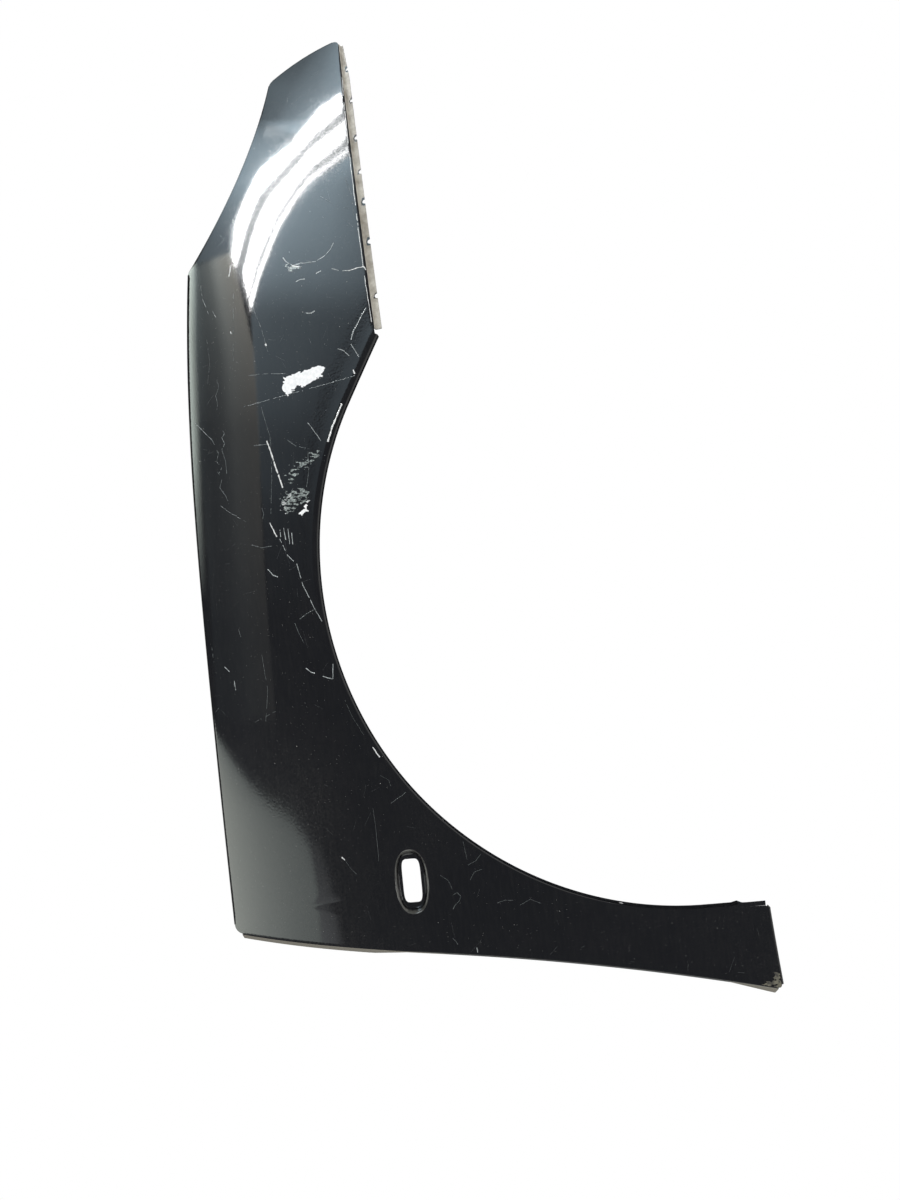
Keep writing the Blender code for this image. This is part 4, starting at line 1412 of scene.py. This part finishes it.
TUBES = (
    (
        (
            (341, 94), (319, 109), (306, 126), (289, 147), (272, 160), (259, 171), (246, 196), (236, 222),
            (232, 256),
        ),
        (
            (343, 111), (317, 133), (306, 145), (291, 160), (276, 177), (260, 194), (250, 218), (244, 238),
            (236, 268),
        ),
    ),
    (
        ((345, 121), (308, 152), (291, 173), (270, 196), (259, 217), (251, 240), (243, 272)),
        ((346, 139), (315, 165), (298, 184), (278, 215), (266, 242), (257, 264), (248, 300)),
    ),
    (
        ((349, 148), (327, 165), (308, 179), (295, 196), (278, 222), (270, 241), (258, 272), (249, 302)),
        ((349, 152), (327, 169), (309, 183), (297, 199), (281, 225), (273, 244), (261, 275), (251, 311)),
    ),
)
CARD_REACH = 4.0
CARD_CELLS = 36
CARD_ACROSS_CELLS = 24
EVEN = ((0.0, 1.0), (1.0, 1.0))
WHITE = (1.0, 1.0, 1.0)
COOL = (0.78, 1.0, 1.14)
PALE = (0.95, 1.0, 1.02)

# A zone is its name, its two rows of pixels, its glow along them, its glow across, and its colours
ZONES = (
    (
        "tube_trough",
        ((341, 90), (306, 122), (272, 156), (246, 192), (230, 225), (228, 262)),
        ((352, 156), (329, 172), (297, 204), (272, 248), (260, 280), (250, 315)),
        ((0.0, 5.0), (0.5, 5.5), (0.9, 4.0), (1.0, 0.0)),
        ((0.0, 0.0), (0.08, 1.0), (0.92, 1.0), (1.0, 0.0)),
        (PALE, PALE),
    ),
    (
        "nose_sky",
        ((312, 30), (285, 62), (262, 86), (258, 122)),
        ((350, 30), (345, 60), (343, 95), (300, 136)),
        ((0.0, 0.3), (0.4, 0.42), (0.7, 0.62), (1.0, 0.7)),
        ((0.0, 0.65), (0.35, 1.4), (0.65, 3.2), (1.0, 7.0)),
        (COOL, COOL),
    ),
    (
        "nose_pale",
        ((250, 122), (240, 150), (226, 185), (214, 215), (203, 240), (192, 266)),
        ((302, 122), (284, 152), (258, 176), (240, 205), (233, 232), (231, 254)),
        ((0.0, 0.9), (0.06, 1.9), (0.2, 2.9), (0.4, 2.9), (0.6, 1.7), (0.8, 1.1), (1.0, 0.9)),
        ((0.0, 0.5), (0.5, 0.9), (1.0, 1.3)),
        (COOL, COOL),
    ),
    (
        "front_room",
        ((352, 154), (309, 185), (281, 227), (261, 277), (251, 313), (257, 400), (262, 500), (270, 620)),
        ((362, 150), (362, 190), (370, 240), (376, 283), (368, 318), (329, 400), (308, 500), (315, 620)),
        (
            (0.0, 5.8), (0.14, 4.5), (0.28, 4.0), (0.40, 3.1), (0.50, 1.9), (0.57, 1.2), (0.71, 0.85),
            (0.77, 0.42), (0.83, 0.38), (0.88, 0.15), (1.0, 0.0),
        ),
        ((0.0, 1.05), (0.5, 0.95), (0.8, 0.75), (1.0, 0.55)),
        (COOL, COOL),
    ),
    (
        "bonnet_edge_light",
        ((183, 262), (183, 340), (185, 420), (188, 500), (194, 600)),
        ((197, 262), (197, 340), (200, 420), (203, 500), (208, 600)),
        ((0.0, 5.0), (0.6, 5.0), (1.0, 0.0)),
        ((0.0, 1.0), (0.5, 0.9), (1.0, 0.0)),
        ((0.94, 1.06, 0.98), (0.94, 1.06, 0.98)),
    ),
    (
        "upper_room",
        ((192, 268), (195, 350), (199, 430), (205, 520), (212, 620), (218, 720)),
        ((232, 252), (254, 350), (259, 430), (262, 520), (268, 620), (276, 720)),
        ((0.0, 2.2), (0.2, 1.3), (0.4, 0.55), (0.6, 0.38), (0.8, 0.18), (1.0, 0.14)),
        ((0.0, 0.45), (0.2, 0.3), (0.4, 0.45), (0.6, 1.0), (1.0, 1.1)),
        ((0.82, 1.02, 1.06), (1.1, 1.07, 0.95)),
    ),
    (
        "lower_light",
        (
            (204, 722), (206, 736), (208, 752), (210, 768), (212, 784), (213, 802), (216, 840), (222, 890),
            (228, 960),
        ),
        (
            (213, 728), (223, 746), (236, 766), (250, 784), (268, 802), (292, 818), (310, 846), (319, 890),
            (324, 960),
        ),
        ((0.0, 4.6), (0.5, 4.6), (1.0, 5.6)),
        ((0.0, 0.64), (0.2, 0.55), (0.45, 0.45), (0.7, 0.37), (0.96, 0.30), (1.0, 0.20)),
        ((0.97, 1.02, 0.93), (0.92, 1.03, 0.98)),
    ),
    (
        "lower_light_rim",
        ((292, 818), (310, 846), (319, 890), (324, 960)),
        ((304, 822), (324, 850), (336, 890), (348, 960)),
        ((0.0, 0.2), (0.6, 0.6), (1.0, 1.2)),
        ((0.0, 1.0), (0.6, 0.7), (1.0, 0.0)),
        (PALE, PALE),
    ),
    (
        "pale_patch",
        ((266, 127), (263, 138)),
        ((288, 126), (286, 139)),
        ((0.0, 1.5), (1.0, 1.1)),
        ((0.0, 1.0), (1.0, 0.8)),
        (PALE, PALE),
    ),
)

# Lights away from the cards, by their corners from the model's origin, and their strength
SIDE_LIGHTS = (
    ("over_bonnet", ((-1.6, 1.4, 3.0), (1.2, 1.4, 3.0), (1.2, 4.0, 2.2), (-1.6, 4.0, 2.2)), 0.8),
    ("behind_door", ((-3.6, -3.0, -1.0), (-3.6, -3.0, 1.2), (-3.6, 0.2, 1.2), (-3.6, 0.2, -1.0)), 2.0),
    ("behind_bonnet", ((-1.6, 4.2, 2.1), (1.2, 4.2, 2.1), (1.2, 5.0, 0.2), (-1.6, 5.0, 0.2)), 0.4),
)
SIDE_LIGHT_COLOUR = (0.97, 1.0, 0.93)
STRIP_CORNERS = ((-0.62, -1.3, -0.95), (-0.27, -1.3, -0.95), (-0.27, -0.7, -0.95), (-0.62, -0.7, -0.95))
ROOM_RADIUS = 6.0
ROOM_FAR_Y = 3.0
ROOM_FAR_STRENGTH = 0.02
FLOOR_RADIUS = 0.95
FLOOR_SIDES = 96
FLOOR_MIDDLE = Vector((0.0, -0.1, -1.02))
FLOOR_TONES = ((0.80, 0.80, 0.79), (0.86, 0.86, 0.85))
FLOOR_ROUGHNESS = 0.9


def add_light(name, mesh, material):
    """A stage light that shows in reflections only."""
    light = new_object(name, mesh)
    light.data.materials.append(material)
    light.visible_camera = False
    light.visible_diffuse = False
    light.visible_transmission = False
    light.visible_volume_scatter = False
    light.visible_shadow = False


def add_card(name, left, right, along, across, colours):
    """A light that shows in the paint between two rows of pixels, in one colour that turns into another."""
    mesh = bmesh.new()
    glow = mesh.verts.layers.float.new("glow")
    tint = mesh.verts.layers.float_color.new("tint")
    rows = []
    for step in range(CARD_CELLS + 1):
        share = step / CARD_CELLS
        ends = (along_points(left, share), along_points(right, share))
        rows.append([])
        for part in range(CARD_ACROSS_CELLS + 1):
            way = part / CARD_ACROSS_CELLS
            vert = mesh.verts.new(mirror_place(*along_points(ends, way), CARD_REACH))
            vert[glow] = by_stops(along, share) * by_stops(across, way)
            vert[tint] = opaque(along_points(colours, way))
            rows[-1].append(vert)
    for near, far in zip(rows, rows[1:]):
        join_rows(mesh, near, far)
    shader = Shader(name)
    add_light(name, mesh, shader.light(shader.attribute("tint", "Color"), shader.attribute("glow")))


def build_cards(settings):
    strength = ((0.0, settings.tube_strength), (1.0, settings.tube_strength))
    for number, (left, right) in enumerate(TUBES):
        add_card(f"tube_{number + 1}", left, right, strength, EVEN, (WHITE, WHITE))
    for zone in ZONES:
        add_card(*zone)


def build_dome(settings):
    """A dim room round the panel that only reflections show."""
    mesh = bmesh.new()
    bmesh.ops.create_icosphere(mesh, subdivisions=4, radius=ROOM_RADIUS)
    shader = Shader("dim_room")
    depth = shader.out("ShaderNodeSeparateXYZ", {"Vector": shader.coordinates()}, output="Y")
    strength = shader.band(depth, 0.0, ROOM_FAR_Y, settings.room_strength, ROOM_FAR_STRENGTH)
    add_light("dim_room", mesh, shader.light(settings.room_colour, strength, clear=False))


def add_flat_light(name, corners, material):
    mesh = bmesh.new()
    mesh.faces.new([mesh.verts.new(corner) for corner in corners])
    add_light(name, mesh, material)


def build_side_lights():
    """Soft lights for the folds and for the recess's rim."""
    for name, corners, strength in SIDE_LIGHTS:
        add_flat_light(name, corners, Shader(name).light(SIDE_LIGHT_COLOUR, strength))


def build_low_strip(settings):
    """A long soft light under the panel that draws the thin line along its lower folds."""
    material = Shader("low_strip").light(WHITE, settings.strip_strength, clear=False)
    add_flat_light("low_strip", STRIP_CORNERS, material)


def build_floor():
    mesh = bmesh.new()
    bmesh.ops.create_circle(mesh, cap_ends=True, radius=FLOOR_RADIUS, segments=FLOOR_SIDES)
    for vert in mesh.verts:
        vert.co += FLOOR_MIDDLE
    floor = new_object("floor", mesh)
    shader = Shader("pale_floor")
    grain = shader.noise(shader.coordinates(), scale=8.0)
    floor.data.materials.append(shader.surface(shader.mix(grain, *FLOOR_TONES), FLOOR_ROUGHNESS))


def build_world():
    world = bpy.data.worlds.new("plain_studio")
    bpy.context.scene.world = world
    world.use_nodes = True
    sky = world.node_tree.nodes["Background"]
    sky.inputs["Color"].default_value = (1.0, 1.0, 1.0, 1.0)
    sky.inputs["Strength"].default_value = 1.0


def build_camera():
    data = bpy.data.cameras.new("photo_camera")
    camera = bpy.data.objects.new("photo_camera", data)
    bpy.context.collection.objects.link(camera)
    data.angle = CAMERA_ANGLE
    cosine, sine = math.cos(VIEW_TURN), math.sin(VIEW_TURN)
    turn = Matrix(((-sine, cosine, 0.0), (0.0, 0.0, -1.0), (-cosine, -sine, 0.0)))
    camera.matrix_world = Matrix.Translation(camera_place()) @ turn.to_4x4()
    bpy.context.scene.camera = camera


class FENDER_PG_paint(bpy.types.PropertyGroup):
    colour: bpy.props.FloatVectorProperty(
        name="Paint colour", description="Colour of the gloss paint", default=(0.004, 0.004, 0.005),
        subtype="COLOR", min=0.0, max=1.0,
    )
    roughness: bpy.props.FloatProperty(
        name="Roughness", description="Roughness of clean paint", default=0.025, min=0.0, max=1.0,
    )
    haze: bpy.props.FloatProperty(
        name="Haze", description="How much fine flecks roughen the paint", default=0.1, min=0.0, max=1.0,
    )
    dust: bpy.props.FloatProperty(
        name="Dust", description="How much of the paint fine dust hides", default=0.05, min=0.0, max=1.0,
        subtype="FACTOR",
    )
    dust_colour: bpy.props.FloatVectorProperty(
        name="Dust colour", description="Colour of the dust", default=(0.42, 0.40, 0.36), subtype="COLOR",
        min=0.0, max=1.0,
    )


class FENDER_PG_wear(bpy.types.PropertyGroup):
    wander: bpy.props.FloatProperty(
        name="Wander", description="How far a scratch strays from its line", default=0.0012, min=0.0,
        subtype="DISTANCE", unit="LENGTH", precision=5,
    )
    hairline_density: bpy.props.FloatProperty(
        name="Hairlines", description="Hairlines in a square metre", default=450.0, min=0.0,
    )
    speck_density: bpy.props.FloatProperty(
        name="Specks", description="Dust specks in a square metre", default=12000.0, min=0.0,
    )


class FENDER_PG_stage(bpy.types.PropertyGroup):
    tube_strength: bpy.props.FloatProperty(
        name="Tube light", description="Brightness of the three tube lamps in the paint", default=30.0,
        min=0.0,
    )
    room_strength: bpy.props.FloatProperty(
        name="Room light", description="Brightness of the dim room in the paint", default=0.21, min=0.0,
    )
    room_colour: bpy.props.FloatVectorProperty(
        name="Room colour", description="Colour of the dim room", default=(0.92, 1.0, 1.12), subtype="COLOR",
        min=0.0, max=2.0,
    )
    strip_strength: bpy.props.FloatProperty(
        name="Low strip", description="Brightness of the strip under the panel", default=8.0, min=0.0,
    )


class FENDER_OT_panel(bpy.types.Operator):
    """Build the painted fender in place of its CAD node"""

    bl_idname = "fender.build_panel"
    bl_label = "Build fender"

    def execute(self, context):
        build_panel(context.scene.fender_paint)
        return {"FINISHED"}


class FENDER_OT_scratches_and_highlights(bpy.types.Operator):
    """Draw the scratches, and the highlights and glints painted like them, as thin ribbons on the paint"""

    bl_idname = "fender.build_scratches"
    bl_label = "Build scratches and highlights"

    def execute(self, context):
        build_scratches(context.scene.fender_wear)
        return {"FINISHED"}


class FENDER_OT_scatter(bpy.types.Operator):
    """Scatter hairlines and dust specks over the paint"""

    bl_idname = "fender.build_scatter"
    bl_label = "Build hairlines and specks"

    def execute(self, context):
        build_scatter(context.scene.fender_wear)
        return {"FINISHED"}


class FENDER_OT_films(bpy.types.Operator):
    """Lay the scrapes, smudges and crusts on the paint"""

    bl_idname = "fender.build_films"
    bl_label = "Build scrapes and smudges"

    def execute(self, context):
        build_films()
        return {"FINISHED"}


class FENDER_OT_stage(bpy.types.Operator):
    """Build the floor, the lights and the camera"""

    bl_idname = "fender.build_stage"
    bl_label = "Build stage"

    def execute(self, context):
        settings = context.scene.fender_stage
        build_world()
        build_floor()
        build_dome(settings)
        build_side_lights()
        build_low_strip(settings)
        build_cards(settings)
        build_camera()
        context.scene.view_settings.view_transform = "Standard"
        return {"FINISHED"}


class FENDER_PT_looks(bpy.types.Panel):
    bl_label = "Fender"
    bl_idname = "FENDER_PT_looks"
    bl_space_type = "VIEW_3D"
    bl_region_type = "UI"
    bl_category = "Fender"

    def draw(self, context):
        scene = context.scene
        for group in (scene.fender_paint, scene.fender_wear, scene.fender_stage):
            for name in group.__annotations__:
                self.layout.prop(group, name)
        for operator in OPERATORS:
            self.layout.operator(operator.bl_idname)


OPERATORS = (FENDER_OT_panel, FENDER_OT_scratches_and_highlights, FENDER_OT_scatter, FENDER_OT_films, FENDER_OT_stage)
CLASSES = (FENDER_PG_paint, FENDER_PG_wear, FENDER_PG_stage, *OPERATORS, FENDER_PT_looks)


def register():
    for item in CLASSES:
        bpy.utils.register_class(item)
    bpy.types.Scene.fender_paint = bpy.props.PointerProperty(type=FENDER_PG_paint)
    bpy.types.Scene.fender_wear = bpy.props.PointerProperty(type=FENDER_PG_wear)
    bpy.types.Scene.fender_stage = bpy.props.PointerProperty(type=FENDER_PG_stage)


def unregister():
    del bpy.types.Scene.fender_stage
    del bpy.types.Scene.fender_wear
    del bpy.types.Scene.fender_paint
    for item in reversed(CLASSES):
        bpy.utils.unregister_class(item)


def main():
    register()
    steps = bpy.ops.fender
    order = (
        steps.build_panel, steps.build_scratches, steps.build_scatter, steps.build_films, steps.build_stage
    )
    for step in order:
        if step() != {"FINISHED"}:
            raise RuntimeError("a step did not finish")


if __name__ == "__main__":
    main()
